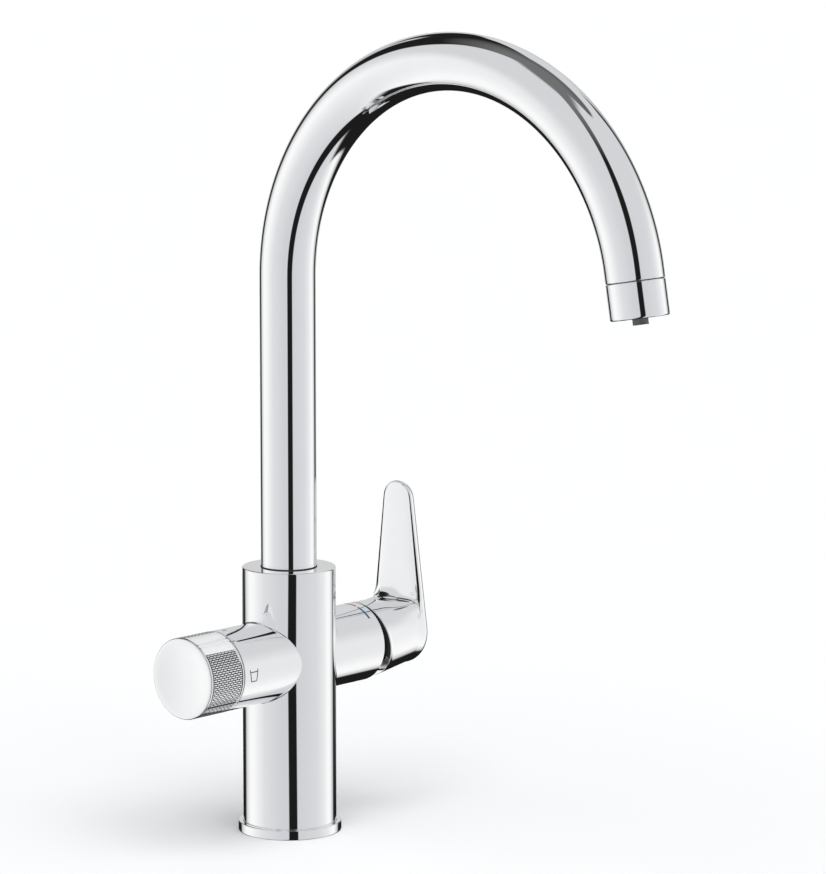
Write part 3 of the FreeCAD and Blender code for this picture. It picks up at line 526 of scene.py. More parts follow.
@dataclass
class BaseRing:
    """The ring that the column stands in."""

    diameter: float = 52.0
    height: float = 5.0
    edge_round: float = 0.6
    mouth_diameter: float = 47.1
    mouth_round: float = 0.45
    ledge: float = 2.0
    hole_diameter: float = 41.0
    groove_outer: float = 49.0
    groove_inner: float = 44.0
    groove_depth: float = 1.2
    around: int = 192

    def build(self) -> None:
        """Turns the ring."""
        outer, mouth = self.diameter / 2, self.mouth_diameter / 2
        corners = [
            (0.0, outer, self.edge_round),
            (self.height, outer, self.edge_round),
            (self.height, mouth, self.mouth_round),
            (self.ledge, mouth, 0.0),
            (self.ledge, self.hole_diameter / 2, 0.0),
            (0.0, self.hole_diameter / 2, 0.0),
            (0.0, self.groove_inner / 2, 0.0),
            (self.groove_depth, self.groove_inner / 2, 0.0),
            (self.groove_depth, self.groove_outer / 2, 0.0),
            (0.0, self.groove_outer / 2, 0.0),
        ]
        draft = Draft()
        Turned.lathe(draft, COLUMN_LINE, Turned.rounded(corners), self.around)
        draft.piece("base_ring_shell", Finishes.CHROME, Body.TAP, "base_ring")


@dataclass
class Spout:
    """The hooped tube and the sleeve at its end."""

    radius: float = 14.0
    wall: float = 1.5
    foot: float = 120.0
    bend_start: float = 281.0
    bend_radius: float = 111.0
    bend_angle: float = 170.0
    end_straight: float = 4.5
    end_round: float = 0.25
    seam: float = 0.6
    sleeve_length: float = 17.0
    sleeve_round: float = 1.0
    lip_length: float = 1.7
    lip_width: float = 1.5
    spigot_length: float = 8.0
    spigot_wall: float = 2.0
    fit_gap: float = 0.05
    around: int = 128
    arc_steps: int = 136
    rise_steps: int = 16
    end_steps: int = 4

    def line(self) -> float:
        """Gives the length of the tube's centre line."""
        return self.bend_start - self.foot + self.bend_length() + self.end_straight

    def bend_length(self) -> float:
        """Gives the length of the hoop along its centre line."""
        return self.bend_radius * math.radians(self.bend_angle)

    def station(self, length: float) -> tuple[Vector, float]:
        """Finds a place on the centre line.

        Args:
            length: How far along the line from the foot.

        Returns:
            The point and the angle in radians that the line has turned there.
        """
        rise = self.bend_start - self.foot
        turn = min(max(length - rise, 0.0) / self.bend_radius, math.radians(self.bend_angle))
        y = -self.bend_radius * (1 - math.cos(turn))
        z = self.bend_start + self.bend_radius * math.sin(turn) + min(length - rise, 0.0)
        past = max(length - rise - self.bend_length(), 0.0)
        along = Vector((0.0, -math.sin(turn), math.cos(turn)))
        return Vector((0.0, y, z)) + along * past, turn

    def end_axis(self) -> Axis:
        """Gives the axis of the tube's end, pointing out with the water."""
        middle, turn = self.station(self.line())
        return Axis(middle, Vector((0.0, -math.sin(turn), math.cos(turn))), X_AXIS)

    def ring_at(self, draft: Draft, length: float, radius: float) -> list[int]:
        """Draws one ring of the tube.

        Args:
            draft: The draft that takes the points.
            length: How far along the centre line.
            radius: The ring's radius.

        Returns:
            The ring's numbers.
        """
        middle, turn = self.station(length)
        inward = Vector((0.0, -math.cos(turn), -math.sin(turn)))
        rays = [X_AXIS * math.cos(a) + inward * math.sin(a) for a in full_turn(self.around)]
        return draft.ring(middle + ray * radius for ray in rays)

    def lengths(self) -> list[float]:
        """Gives the places of the tube's rings along its centre line, without the ends."""
        rise = self.bend_start - self.foot
        places = [rise * i / self.rise_steps for i in range(1, self.rise_steps)]
        places += [rise + self.bend_length() * i / self.arc_steps for i in range(self.arc_steps + 1)]
        last = rise + self.bend_length()
        places += [last + self.end_straight * i / self.end_steps for i in range(1, self.end_steps)]
        return places

    def build_tube(self) -> None:
        """Sweeps the hollow tube."""
        draft = Draft()
        end, edge = self.line(), self.end_round
        outer, inner = self.radius, self.radius - self.wall
        rings = [self.ring_at(draft, 0.0, inner), self.ring_at(draft, 0.0, outer)]
        rings += [self.ring_at(draft, place, outer) for place in self.lengths()]
        for a in quarter(Turned.ARC_STEPS):
            radius = outer - edge * (1 - math.cos(a))
            rings.append(self.ring_at(draft, end - edge * (1 - math.sin(a)), radius))
        rings.append(self.ring_at(draft, end, inner))
        rings += [self.ring_at(draft, place, inner) for place in reversed(self.lengths())]
        draft.skin(rings, looped=True)
        draft.piece("spout_tube_shell", Finishes.CHROME, Body.SPOUT, "spout_tube")

    def build_sleeve(self) -> None:
        """Turns the screwed sleeve that ends the spout."""
        outer, inner = self.radius, self.radius - self.wall
        end = self.seam + self.sleeve_length
        spigot = inner - self.fit_gap
        bore = spigot - self.spigot_wall
        web = self.seam + self.spigot_wall
        corners = [
            (self.seam, outer, self.end_round),
            (end, outer, self.sleeve_round),
            (end, inner - self.lip_width, self.end_round),
            (end - self.lip_length, inner - self.lip_width, 0.0),
            (end - self.lip_length, inner, 0.0),
            (web, inner, 0.0),
            (web, bore, 0.0),
            (-self.spigot_length, bore, 0.0),
            (-self.spigot_length, spigot, 0.0),
            (self.seam, spigot, 0.0),
        ]
        draft = Draft()
        Turned.lathe(draft, self.end_axis(), Turned.rounded(corners), self.around)
        draft.piece("outlet_sleeve_shell", Finishes.CHROME, Body.SPOUT, "outlet_sleeve")

    def build(self) -> None:
        """Makes the tube and its sleeve."""
        self.build_tube()
        self.build_sleeve()


@dataclass
class Dome:
    """The plated dome in the gap behind the lever's hub."""

    pivot: float = 38.25
    collar_end: float = 49.6
    base_diameter: float = 37.8
    thickness: float = 1.2
    mouth_half_angle: float = 43.0
    skirt_start: float = 48.6
    skirt_outer: float = 35.9
    skirt_inner: float = 33.1
    around: int = 160
    arc_steps: int = 10

    def arc(self, radius: float, first: float, last: float) -> list[Spot]:
        """Draws part of a circle about the pivot.

        Args:
            radius: The circle's radius.
            first: Where it starts, in radians from the axis.
            last: Where it ends.

        Returns:
            Its spots as station and radius.
        """
        angles = [first + (last - first) * k / self.arc_steps for k in range(self.arc_steps + 1)]
        return [(self.pivot + radius * math.cos(a), radius * math.sin(a)) for a in angles]

    def radius(self) -> float:
        """Gives the dome's outside radius."""
        return math.hypot(self.collar_end - self.pivot, self.base_diameter / 2)

    def build(self) -> None:
        """Turns the dome with its skirt."""
        outer = self.radius()
        inner = outer - self.thickness
        mouth = math.radians(self.mouth_half_angle)
        base = math.asin(self.base_diameter / 2 / outer)
        skirt = math.asin(self.skirt_inner / 2 / inner)
        spots = self.arc(outer, base, mouth) + self.arc(inner, mouth, skirt)
        spots += [(self.skirt_start, self.skirt_inner / 2), (self.skirt_start, self.skirt_outer / 2)]
        spots += [(self.collar_end, self.skirt_outer / 2)]
        draft = Draft()
        Turned.lathe(draft, BRANCH_LINE, spots, self.around)
        draft.piece("dome_cap_shell", Finishes.SATIN, Body.TAP, "dome_cap")


@dataclass
class Lever:
    """The mixer's lever: a tapered hub with a slanted rim and a teardrop blade that rises from it."""

    collar_end: float = 49.6
    rim_radius: float = 20.0
    hub_end_radius: float = 17.9
    hub_rise: float = 2.1
    fold_rise: float = 18.0
    fold_start: float = 58.0
    fold_corner: float = 10.0
    rim_top: float = 50.7
    rim_bottom: float = 58.3
    rim_round: float = 0.35
    # Below this rise of the outward direction the rim's end face stays chrome, where it is lit; above it the
    # face carries painted shade.
    rim_lit: float = -0.4
    rim_rounds: int = 4
    blade_inner: float = 80.0
    blade_thickness: float = 7.0
    tip_rise: float = 69.8
    tip_radius: float = 9.6
    lean: float = 1.1
    outer_round: float = 4.0
    front_bevel: Spot = (1.5, 0.35)
    rear_bevel: Spot = (3.2, 1.4)
    front_tilt: float = 43.0
    rear_tilt: float = 27.0
    edge_round: float = 0.35
    edge_hold: float = 0.12
    edge_lead: float = 0.15
    crown_tilt: float = 4.0
    crown_run: float = 8.0
    front_root: float = 2.5
    rear_root: float = 8.5
    width_share: float = 0.55
    cavity_radius: float = 15.1
    cavity_end_radius: float = 13.0
    cavity_end: float = 79.0
    boss_radius: float = 8.5
    boss_start: float = 60.95
    dome_gap: float = 0.6
    plug_station: float = 72.0
    plug_radius: float = 3.0
    plug_depth: float = 2.0
    plug_proud: float = 0.12
    plug_flat: float = 0.85
    plug_around: int = 48
    dome: Dome = field(default_factory=Dome)
    tip_steps: int = 40
    side_steps: int = 40
    hub_steps: int = 120
    cone_steps: int = 10
    round_steps: int = 8
    face_steps: int = 8

    def outline(self) -> list[tuple[Vector, float, Vector]]:
        """Walks round the teardrop, seen from the lever's end.

        Returns:
            Spine point, radius and outward direction of each step, as flat vectors of Y and Z from
            the hub's axis.
        """
        slope = math.asin((self.hub_end_radius - self.tip_radius) / (self.tip_rise - self.hub_rise))
        hub, tip = Vector((0.0, self.hub_rise)), Vector((0.0, self.tip_rise))
        walk = []
        for k in range(self.tip_steps):
            a = slope + (math.pi - 2 * slope) * k / self.tip_steps
            walk.append((tip, self.tip_radius, Vector((math.cos(a), math.sin(a)))))
        left = Vector((-math.cos(slope), math.sin(slope)))
        right = Vector((math.cos(slope), math.sin(slope)))
        for k in range(self.side_steps):
            share = k / self.side_steps
            walk.append((tip.lerp(hub, share), between(self.tip_radius, self.hub_end_radius, share), left))
        for k in range(self.hub_steps):
            a = math.pi - slope + (math.pi + 2 * slope) * k / self.hub_steps
            walk.append((hub, self.hub_end_radius, Vector((math.cos(a), math.sin(a)))))
        for k in range(self.side_steps):
            share = k / self.side_steps
            walk.append((hub.lerp(tip, share), between(self.hub_end_radius, self.tip_radius, share), right))
        return walk

    def place(self, station: float, flat: Vector) -> Vector:
        """Puts a flat point of the end view at a station along the hub's axis."""
        return Vector((station, flat.x, BRANCH_HEIGHT + flat.y))

    def outer_face(self, flat: Vector) -> float:
        """Gives the leaning outer face's station at a flat point."""
        return self.blade_inner + self.blade_thickness - flat.y * math.tan(math.radians(self.lean))

    def cone_radius(self, station: float) -> float:
        """Gives the hub's outside radius at a station."""
        share = (station - self.collar_end) / (self.blade_inner - self.collar_end)
        return between(self.rim_radius, self.hub_end_radius, share)

    def rim_station(self, up: float) -> float:
        """Gives the slanted rim's station where the outward direction rises by up."""
        station = self.rim_top
        for _ in range(self.rim_rounds):
            drop = self.rim_radius - self.cone_radius(station) * up
            station = between(self.rim_top, self.rim_bottom, drop / (2 * self.rim_radius))
        return station

    def inner_radius(self, station: float) -> float:
        """Gives the inside radius of the hub, hollowed to clear the dome."""
        reach = self.dome.radius() + self.dome_gap
        away = station - self.dome.pivot
        return max(self.cavity_radius, math.sqrt(max(reach * reach - away * away, 0.0)))

    def section(self, flat: Vector, station: float) -> float:
        """Finds the hub's outside, round at its rim and flat-topped where the blade folds up from it.

        Args:
            flat: The outline's point that gives the direction.
            station: The station along the hub's axis.

        Returns:
            The distance from the axis in that direction.
        """
        ray = flat.normalized()
        fold = flat.length
        if ray.y > 0:
            ends = (flat.length, self.fold_rise / ray.y)
            fold = sum(end ** -self.fold_corner for end in ends) ** (-1 / self.fold_corner)
        part = held((station - self.fold_start) / (self.blade_inner - self.fold_start))
        change = fold - self.circle(ray, self.blade_inner)
        return self.circle(ray, station) + change * part * part * (3 - 2 * part)

    def circle(self, ray: Vector, station: float) -> float:
        """Gives the hub's distance from the axis where it is round, with its middle rising to the blade."""
        share = (station - self.rim_top) / (self.blade_inner - self.rim_top)
        rise, radius = self.hub_rise * share, self.cone_radius(station)
        return rise * ray.y + math.sqrt(radius * radius - rise * rise * ray.x * ray.x)

    def room(self, flat: Vector) -> float:
        """Gives the width of the blade's inner face outside the hub at a point of the outline."""
        return max(flat.length - self.section(flat, self.blade_inner), 0.0)

    def root(self, flat: Vector) -> float:
        """Gives the rounding between the hub and the blade, larger at the rear."""
        side = held((1 + flat.x / self.hub_end_radius) / 2)
        return min(between(self.front_root, self.rear_root, side), self.room(flat) * self.width_share)

    def face_station(self, flat: Vector, width: float) -> float:
        """Gives the inner face's station, crowned from side to side."""
        half = between(self.hub_end_radius, self.tip_radius, held(flat.y / self.tip_rise))
        across = min(abs(flat.x) / half, 1.0)
        sag = half * math.tan(math.radians(self.crown_tilt)) / 2
        return self.blade_inner + sag * across * across * min(width / self.crown_run, 1.0)

    def edge_profile(self, flat: Vector, out: Vector) -> list[Spot]:
        """Draws the inner face's bevelled edge at a point of the outline, finer towards the tip.

        Args:
            flat: The point.
            out: The outline's outward direction there.

        Returns:
            How far each spot lies inside the outline and behind the face, from the side to the face.
        """
        rear = (1 + out.x) / 2
        up = held(flat.y / (self.tip_rise + self.tip_radius))
        length = between(between(*self.front_bevel, up), between(*self.rear_bevel, up), rear)
        tilt = math.radians(between(self.front_tilt, self.rear_tilt, rear))
        edge, hold = self.edge_round, self.edge_hold
        across, deep = length * math.cos(tilt), length * math.sin(tilt)
        aside, back = hold * math.cos(tilt), hold * math.sin(tilt)
        spots = [(0.0, deep + edge), (edge * self.edge_lead, deep + edge / 2), (edge / 2, deep)]
        spots += [(edge / 2 + aside, deep - back), (edge / 2 + across - aside, back)]
        spots += [(edge / 2 + across, 0.0), (edge / 2 + across + 2 * hold, 0.0)]
        width = self.room(flat)
        side = self.outer_face(flat) - self.outer_round - self.face_station(flat, width) - hold
        scale = max(min(1.0, side / spots[0][1], width * self.width_share / spots[-1][0]), 0.0)
        return [(inset * scale, depth * scale) for inset, depth in spots]

    def blade_rings(self, draft: Draft) -> list[list[int]]:
        """Draws the rings of the outer face's edge, the blade's sides and its inner face.

        Args:
            draft: The draft that takes the points.

        Returns:
            The rings, from the outer face to the root of the hub.
        """
        walk = self.outline()
        edges = [spine + out * radius for spine, radius, out in walk]
        room = [self.room(flat) for flat in edges]
        rings = []
        for a in quarter(self.round_steps):
            inset = self.outer_round * (1 - math.sin(a))
            points = []
            for spine, radius, out in walk:
                flat = spine + out * (radius - inset)
                station = self.outer_face(flat) - self.outer_round * (1 - math.cos(a))
                points.append(self.place(station, flat))
            rings.append(draft.ring(points))
        profiles = [self.edge_profile(flat, out) for flat, (_, _, out) in zip(edges, walk)]
        inner = edges
        for k in range(len(profiles[0])):
            points, inner = [], []
            for flat, (_, _, out), width, profile in zip(edges, walk, room, profiles):
                inset, depth = profile[k]
                spot = flat - out * inset
                inner.append(spot)
                points.append(self.place(self.face_station(spot, width) + depth, spot))
            rings.append(draft.ring(points))
        for k in range(1, self.face_steps):
            points = []
            share = k / self.face_steps
            for flat, edge, width in zip(inner, edges, room):
                root = self.root(edge)
                foot = edge.normalized() * (self.section(edge, self.blade_inner - root) + root)
                spot = flat.lerp(foot, share)
                station = between(self.face_station(spot, width), self.blade_inner, share)
                points.append(self.place(station, spot))
            rings.append(draft.ring(points))
        for a in quarter(self.round_steps):
            points = []
            for edge in edges:
                root = self.root(edge)
                station = self.blade_inner - root * (1 - math.cos(a))
                away = self.section(edge, self.blade_inner - root) + root * (1 - math.sin(a))
                points.append(self.place(station, edge.normalized() * away))
            rings.append(draft.ring(points))
        return rings

    def hub_rings(self, draft: Draft, edges: Sequence[Vector]) -> list[list[int]]:
        """Draws the rings of the hub's outside and its rim.

        Args:
            draft: The draft that takes the points.
            edges: The outline's points, which give the directions.

        Returns:
            The rings, from the root of the blade to the rim.
        """
        rings = []
        edge = self.rim_round
        for k in range(1, self.cone_steps + 1):
            points = []
            for flat in edges:
                rim, start = self.rim_station(flat.normalized().y), self.blade_inner - self.root(flat)
                station = between(start, rim + edge, k / self.cone_steps)
                points.append(self.place(station, flat.normalized() * self.section(flat, station)))
            rings.append(draft.ring(points))
        for a in quarter(self.round_steps)[1:]:
            points = []
            for flat in edges:
                rim = self.rim_station(flat.normalized().y)
                away = self.section(flat, rim) - edge * (1 - math.cos(a))
                points.append(self.place(rim + edge * (1 - math.sin(a)), flat.normalized() * away))
            rings.append(draft.ring(points))
        return rings

    def hollow_rings(self, draft: Draft, rays: Sequence[Vector]) -> list[list[int]]:
        """Draws the rings of the hub's hollow.

        Args:
            draft: The draft that takes the points.
            rays: The outward direction of each step round the hub.

        Returns:
            The rings, from the rim to the end of the boss inside.
        """
        rims = [self.rim_station(ray.y) for ray in rays]
        rings = []
        for k in range(self.cone_steps + 1):
            points = []
            for ray, rim in zip(rays, rims):
                station = between(rim, self.boss_start, k / self.cone_steps)
                points.append(self.place(station, ray * self.inner_radius(station)))
            rings.append(draft.ring(points))
        ends = [
            (self.cavity_end, self.cavity_end_radius),
            (self.cavity_end, self.boss_radius),
            (self.boss_start, self.boss_radius),
        ]
        for station, radius in ends:
            rings.append(draft.ring(self.place(station, ray * radius) for ray in rays))
        return rings

    def build_handle(self) -> None:
        """Makes the lever in one closed mesh, with painted shade in its hollow and on the upper part of its
        rim's end face.
        """
        draft = Draft()
        edges = [spine + out * radius for spine, radius, out in self.outline()]
        outside = self.blade_rings(draft) + self.hub_rings(draft, edges)
        hollow = self.hollow_rings(draft, [flat.normalized() for flat in edges])
        spine = draft.ring(self.place(self.outer_face(spot), spot) for spot, _, _ in self.outline())
        draft.skin([spine, *outside])
        # The rim's end face is chrome low down, where it is lit, and painted shade above; the hollow is all
        # painted shade.
        for i in range(len(edges)):
            j = (i + 1) % len(edges)
            lit = edges[i].normalized().y < self.rim_lit
            draft.face(outside[-1][i], outside[-1][j], hollow[0][j], hollow[0][i], look=int(not lit))
        draft.skin(hollow, look=1)
        draft.face(*hollow[-1], look=1)
        draft.piece("lever_handle_shell", Finishes.CHROME, Body.LEVER, "lever_handle",
                    others=[Finishes.HOLLOW_SHADE])

    def build_plug(self) -> None:
        """Turns the plug that covers the set screw at the rear of the hub."""
        flat = Vector((self.hub_end_radius, 0.0))
        skin = self.section(flat, self.plug_station) + self.plug_proud
        edge = self.plug_radius
        spots = [(skin - self.plug_depth, 0.0), (skin - self.plug_depth, edge)]
        spots += [(skin - self.plug_proud, edge), (skin, edge * self.plug_flat)]
        spots += [(skin + self.plug_proud, 0.0)]
        draft = Draft()
        axis = Axis(Vector((self.plug_station, 0.0, BRANCH_HEIGHT)), Y_AXIS, Z_AXIS)
        Turned.lathe(draft, axis, spots, self.plug_around, closed=False)
        draft.piece("lever_screw_plug", Finishes.GREY, Body.LEVER, "lever_screw_cap")

    def build(self) -> None:
        """Makes the handle and its plug."""
        self.build_handle()
        self.build_plug()


@dataclass
class Knob:
    """The filtered water's knob: a plated cup with a knurled band, its grooves dark with painted shade, and
    a smooth strip.
    """

    radius: float = 20.3
    start: float = 53.2
    face: float = 76.2
    dish: float = 1.4
    face_round: float = 1.0
    seam_round: float = 0.25
    face_rim: float = 1.7
    seam_rim: float = 1.3
    knurl_depth: float = 0.42
    rows: int = 118
    strip_rows: int = 15
    strip_start: float = 2.2
    bricks: int = 8
    flat_share: float = 0.56
    wall: float = 3.2
    face_thickness: float = 4.0
    boss_radius: float = 12.0
    boss_start: float = 58.0
    socket_radius: float = 9.05
    socket_end: float = 68.0
    face_rings: int = 6

    def axis(self) -> Axis:
        """Gives the knob's axis, pointing out of the face, with angles from +Z towards the front."""
        return Axis(Vector((0.0, 0.0, BRANCH_HEIGHT)), -X_AXIS, Z_AXIS)

    def angles(self) -> list[float]:
        """Gives three angles for each row: its groove and the two edges of its top."""
        pitch = 2 * math.pi / self.rows
        first = math.radians(self.strip_start)
        side = (1 - self.flat_share) / 2
        return [first + pitch * (row + part) for row in range(self.rows) for part in (0.0, side, 1 - side)]

    def knurled(self, number: int) -> bool:
        """Tells whether an angle, by its number, lies at the groove's depth where the band starts."""
        row = number // 3
        return row >= self.strip_rows or number == 0

    def band_ring(self, draft: Draft, station: float) -> list[int]:
        """Draws the ring at one end of the knurled band, sunk everywhere but on the strip.

        Args:
            draft: The draft that takes the points.
            station: Its station.

        Returns:
            The ring's numbers.
        """
        axis = self.axis()
        points = []
        for number, angle in enumerate(self.angles()):
            radius = self.radius - self.knurl_depth if self.knurled(number) else self.radius
            points.append(axis.at(station, radius, angle))
        return draft.ring(points)

    def plain_ring(self, draft: Draft, station: float, radius: float) -> list[int]:
        """Draws a round ring with the band's angles and returns its numbers."""
        axis = self.axis()
        return draft.ring(axis.at(station, radius, angle) for angle in self.angles())

    def knurl(self, draft: Draft, low: list[int], high: list[int], start: float, stop: float) -> None:
        """Fills the band between its two rings with staggered bricks, whose groove walls carry painted
        shade, and the smooth strip.

        Args:
            draft: The draft that takes the faces.
            low: The ring at the band's start.
            high: The ring at its end.
            start: The band's first station.
            stop: Its last station.
        """
        axis, angles = self.axis(), self.angles()
        halves = 2 * self.bricks
        half = (stop - start) / halves
        floor = self.radius - self.knurl_depth
        inset = half * (1 - self.flat_share) / 2
        lines: dict[int, list[int]] = {}
        for row in list(range(self.strip_rows, self.rows)) + [0]:
            inner = draft.ring(axis.at(start + half * k, floor, angles[3 * row]) for k in range(1, halves))
            lines[row] = [low[3 * row], *inner, high[3 * row]]
        for row in range(self.strip_rows, self.rows):
            left, right = lines[row], lines[(row + 1) % self.rows]
            cuts = list(range(0, halves + 1, 2)) if row % 2 else [0, *range(1, halves, 2), halves]
            for a, b in zip(cuts, cuts[1:]):
                bottom, top = start + half * a + inset, start + half * b - inset
                turn = (angles[3 * row + 1], angles[3 * row + 2])
                spots = [(bottom, turn[0]), (bottom, turn[1]), (top, turn[1]), (top, turn[0])]
                brick = draft.ring(axis.at(station, self.radius, angle) for station, angle in spots)
                draft.face(*brick)
                # The groove walls take the second finish, painted shade in the knurl's recesses.
                draft.face(*left[a:b + 1], brick[3], brick[0], look=1)
                draft.face(*reversed(right[a:b + 1]), brick[1], brick[2], look=1)
                below = low[3 * row + 1:3 * row + 3] if a == 0 else []
                above = high[3 * row + 1:3 * row + 3] if b == halves else []
                draft.face(left[a], brick[0], brick[1], right[a], *reversed(below), look=1)
                draft.face(right[b], brick[2], brick[3], left[b], *above, look=1)
        last = 3 * self.strip_rows - 1
        for number in range(1, last):
            draft.face(low[number], low[number + 1], high[number + 1], high[number], look=2)
        draft.face(*lines[0], high[1], low[1])
        draft.face(low[last], high[last], *reversed(lines[self.strip_rows]))

    def build(self) -> None:
        """Makes the knob in one closed mesh."""
        draft = Draft()
        low, high = self.start + self.seam_rim, self.face - self.face_rim
        hollow = self.face - self.face_thickness
        inside = [
            (self.socket_end, 0.0),
            (self.socket_end, self.socket_radius),
            (self.boss_start, self.socket_radius),
            (self.boss_start, self.boss_radius),
            (hollow, self.boss_radius),
            (hollow, self.radius - self.wall),
            (self.start, self.radius - self.wall),
        ]
        edge = [
            (self.start, self.radius - self.wall, 0.0),
            (self.start, self.radius, self.seam_round),
            (low - self.knurl_depth, self.radius, 0.0),
        ]
        front = [
            (high + self.knurl_depth, self.radius, 0.0),
            (self.face, self.radius, self.face_round),
            (self.face, self.radius - 2 * self.face_round, 0.0),
        ]
        rings = [self.plain_ring(draft, s, r) for s, r in inside]
        rings += [self.plain_ring(draft, s, r) for s, r in Turned.rounded(edge, closed=False)[1:]]
        rings.append(self.band_ring(draft, low))
        draft.skin(rings)
        outer = [self.band_ring(draft, high)]
        outer += [self.plain_ring(draft, s, r) for s, r in Turned.rounded(front, closed=False)]
        flat = self.radius - 2 * self.face_round
        for k in range(1, self.face_rings + 1):
            share = 1 - k / self.face_rings
            outer.append(self.plain_ring(draft, self.face - self.dish * (1 - share * share), flat * share))
        draft.skin(outer)
        self.knurl(draft, rings[-1], outer[0], low, high)
        draft.piece("filter_knob_shell", Finishes.CHROME, Body.KNOB, "filter_knob",
                    others=[Finishes.GROOVE_SHADE, Finishes.STRIP])


@dataclass
class BranchMarks:
    """Printed marks on the two branches: warm, cold, the knob's index and a plain tumbler."""

    mixer_radius: float = 20.0
    mixer_station: float = 44.6
    warm: Spot = (-9.0, 13.0)
    cold: Spot = (17.0, 44.0)
    mark_width: float = 1.3
    filter_radius: float = 20.2
    index_station: float = -47.1
    index_turn: float = 2.0
    index_length: float = 2.4
    index_width: float = 0.8
    tumbler_station: float = -46.2
    tumbler_turn: float = 90.0
    tumbler_width: float = 5.4
    tumbler_height: float = 6.0
    tumbler_foot: float = 3.6
    water_drop: float = 1.3
    line_width: float = 0.5
    proud: float = 0.03
    sunk: float = 0.08
    step: float = 0.4

    def stroke(self, draft: Draft, radius: float, path: Sequence[Vector], width: float) -> None:
        """Lays a thin raised line on a branch.

        Args:
            draft: The draft that takes the faces.
            radius: The branch's radius.
            path: Points as station along X and length round the branch from its top to the front.
            width: The line's width.
        """
        walk = [path[0]]
        for first, last in zip(path, path[1:]):
            count = max(1, math.ceil((last - first).length / self.step))
            walk += [first.lerp(last, k / count) for k in range(1, count + 1)]
        rings = []
        for i, spot in enumerate(walk):
            onward = walk[min(i + 1, len(walk) - 1)] - walk[max(i - 1, 0)]
            aside = Vector((-onward.y, onward.x)).normalized() * (width / 2)
            corners = [(spot + aside, self.proud), (spot - aside, self.proud)]
            corners += [(spot - aside, -self.sunk), (spot + aside, -self.sunk)]
            rings.append(draft.ring(self.on_branch(flat, radius, lift) for flat, lift in corners))
        draft.skin(rings)
        draft.face(*rings[0])
        draft.face(*rings[-1])

    @staticmethod
    def on_branch(flat: Vector, radius: float, lift: float) -> Vector:
        """Wraps a flat point round a branch, lifted off its surface."""
        turn = flat.y / radius
        away = radius + lift
        return Vector((flat.x, -away * math.sin(turn), BRANCH_HEIGHT + away * math.cos(turn)))

    def build_arc(self, name: str, finish: Finish, turns: Spot) -> None:
        """Prints one of the mixer's two arcs.

        Args:
            name: The piece's name.
            finish: Its ink.
            turns: Where it starts and ends, in degrees from the top towards the front.
        """
        draft = Draft()
        path = [Vector((self.mixer_station, math.radians(t) * self.mixer_radius)) for t in turns]
        self.stroke(draft, self.mixer_radius, path, self.mark_width)
        draft.piece(name, finish, Body.TAP)

    def build_index(self) -> None:
        """Prints the short dash that the knob's strip points at."""
        draft = Draft()
        turn = math.radians(self.index_turn) * self.filter_radius
        ends = (self.index_station - self.index_length / 2, self.index_station + self.index_length / 2)
        path = [Vector((station, turn)) for station in ends]
        self.stroke(draft, self.filter_radius, path, self.index_width)
        draft.piece("knob_index_mark", Finishes.GREY_INK, Body.TAP)

    def build_tumbler(self) -> None:
        """Prints the outline of a tumbler with its water line."""
        middle = Vector((self.tumbler_station, math.radians(self.tumbler_turn) * self.filter_radius))
        half, foot, tall = self.tumbler_width / 2, self.tumbler_foot / 2, self.tumbler_height / 2
        outline = [(-half, -tall), (-foot, tall), (foot, tall), (half, -tall)]
        level = self.water_drop - tall
        wet = half - (half - foot) * self.water_drop / self.tumbler_height
        draft = Draft()
        for ends in (*zip(outline, outline[1:]), ((-wet, level), (wet, level))):
            path = [middle + Vector(end) for end in ends]
            self.stroke(draft, self.filter_radius, path, self.line_width)
        draft.piece("filter_tumbler_mark", Finishes.GREY_INK, Body.TAP)

    def build(self) -> None:
        """Prints all the marks."""
        self.build_arc("warm_mark", Finishes.RED_INK, self.warm)
        self.build_arc("cold_mark", Finishes.BLUE_INK, self.cold)
        self.build_index()
        self.build_tumbler()


@dataclass
class SeamShadeRings:
    """Dark rubber rings set back in the seams, round the spout's foot, behind the knob and at the outlet:
    painted shade that stands in for the shade in those gaps.
    """

    foot_radius: Spot = (14.04, 14.21)
    foot_height: Spot = (133.0, 135.45)
    knob_radius: Spot = (17.2, 19.6)
    knob_station: Spot = (-53.08, -52.68)
    outlet_radius: Spot = (12.5, 13.5)
    outlet_station: Spot = (0.08, 0.52)
    around: int = 160

    def build_ring(self, name: str, body: Body, axis: Axis, radii: Spot, stations: Spot) -> None:
        """Turns one ring.

        Args:
            name: The piece's name.
            body: The body that it rides on.
            axis: The ring's axis.
            radii: Its inside and outside radius.
            stations: Where it starts and ends along the axis.
        """
        inner, outer = radii
        start, stop = stations
        draft = Draft()
        spots = [(start, inner), (start, outer), (stop, outer), (stop, inner)]
        Turned.lathe(draft, axis, spots, self.around)
        # The black rubber here is painted shade, darkening the seam where the gap lies in shade.
        draft.piece(name, Finishes.RUBBER, body)

    def build(self) -> None:
        """Makes the three rings of painted shade."""
        outlet = Spout().end_axis()
        self.build_ring("spout_foot_shade_ring", Body.TAP, COLUMN_LINE, self.foot_radius, self.foot_height)
        self.build_ring("knob_seam_shade_ring", Body.TAP, BRANCH_LINE, self.knob_radius, self.knob_station)
        self.build_ring("outlet_seam_shade_ring", Body.SPOUT, outlet, self.outlet_radius, self.outlet_station)


@dataclass
class InnerParts:
    """The nodes that keep their own shape and get their finishes here."""

    slots: dict[str, str]

    def dress(self) -> None:
        """Gives each shown node the finish of its slot."""
        finishes = Finishes.by_slot()
        for name, node in frame["nodes"].items():
            finish = finishes[self.slots[name]]
            node.data.materials.clear()
            node.data.materials.append(finish.material())
            log.info("%s: dressed in %s", name, finish.name)


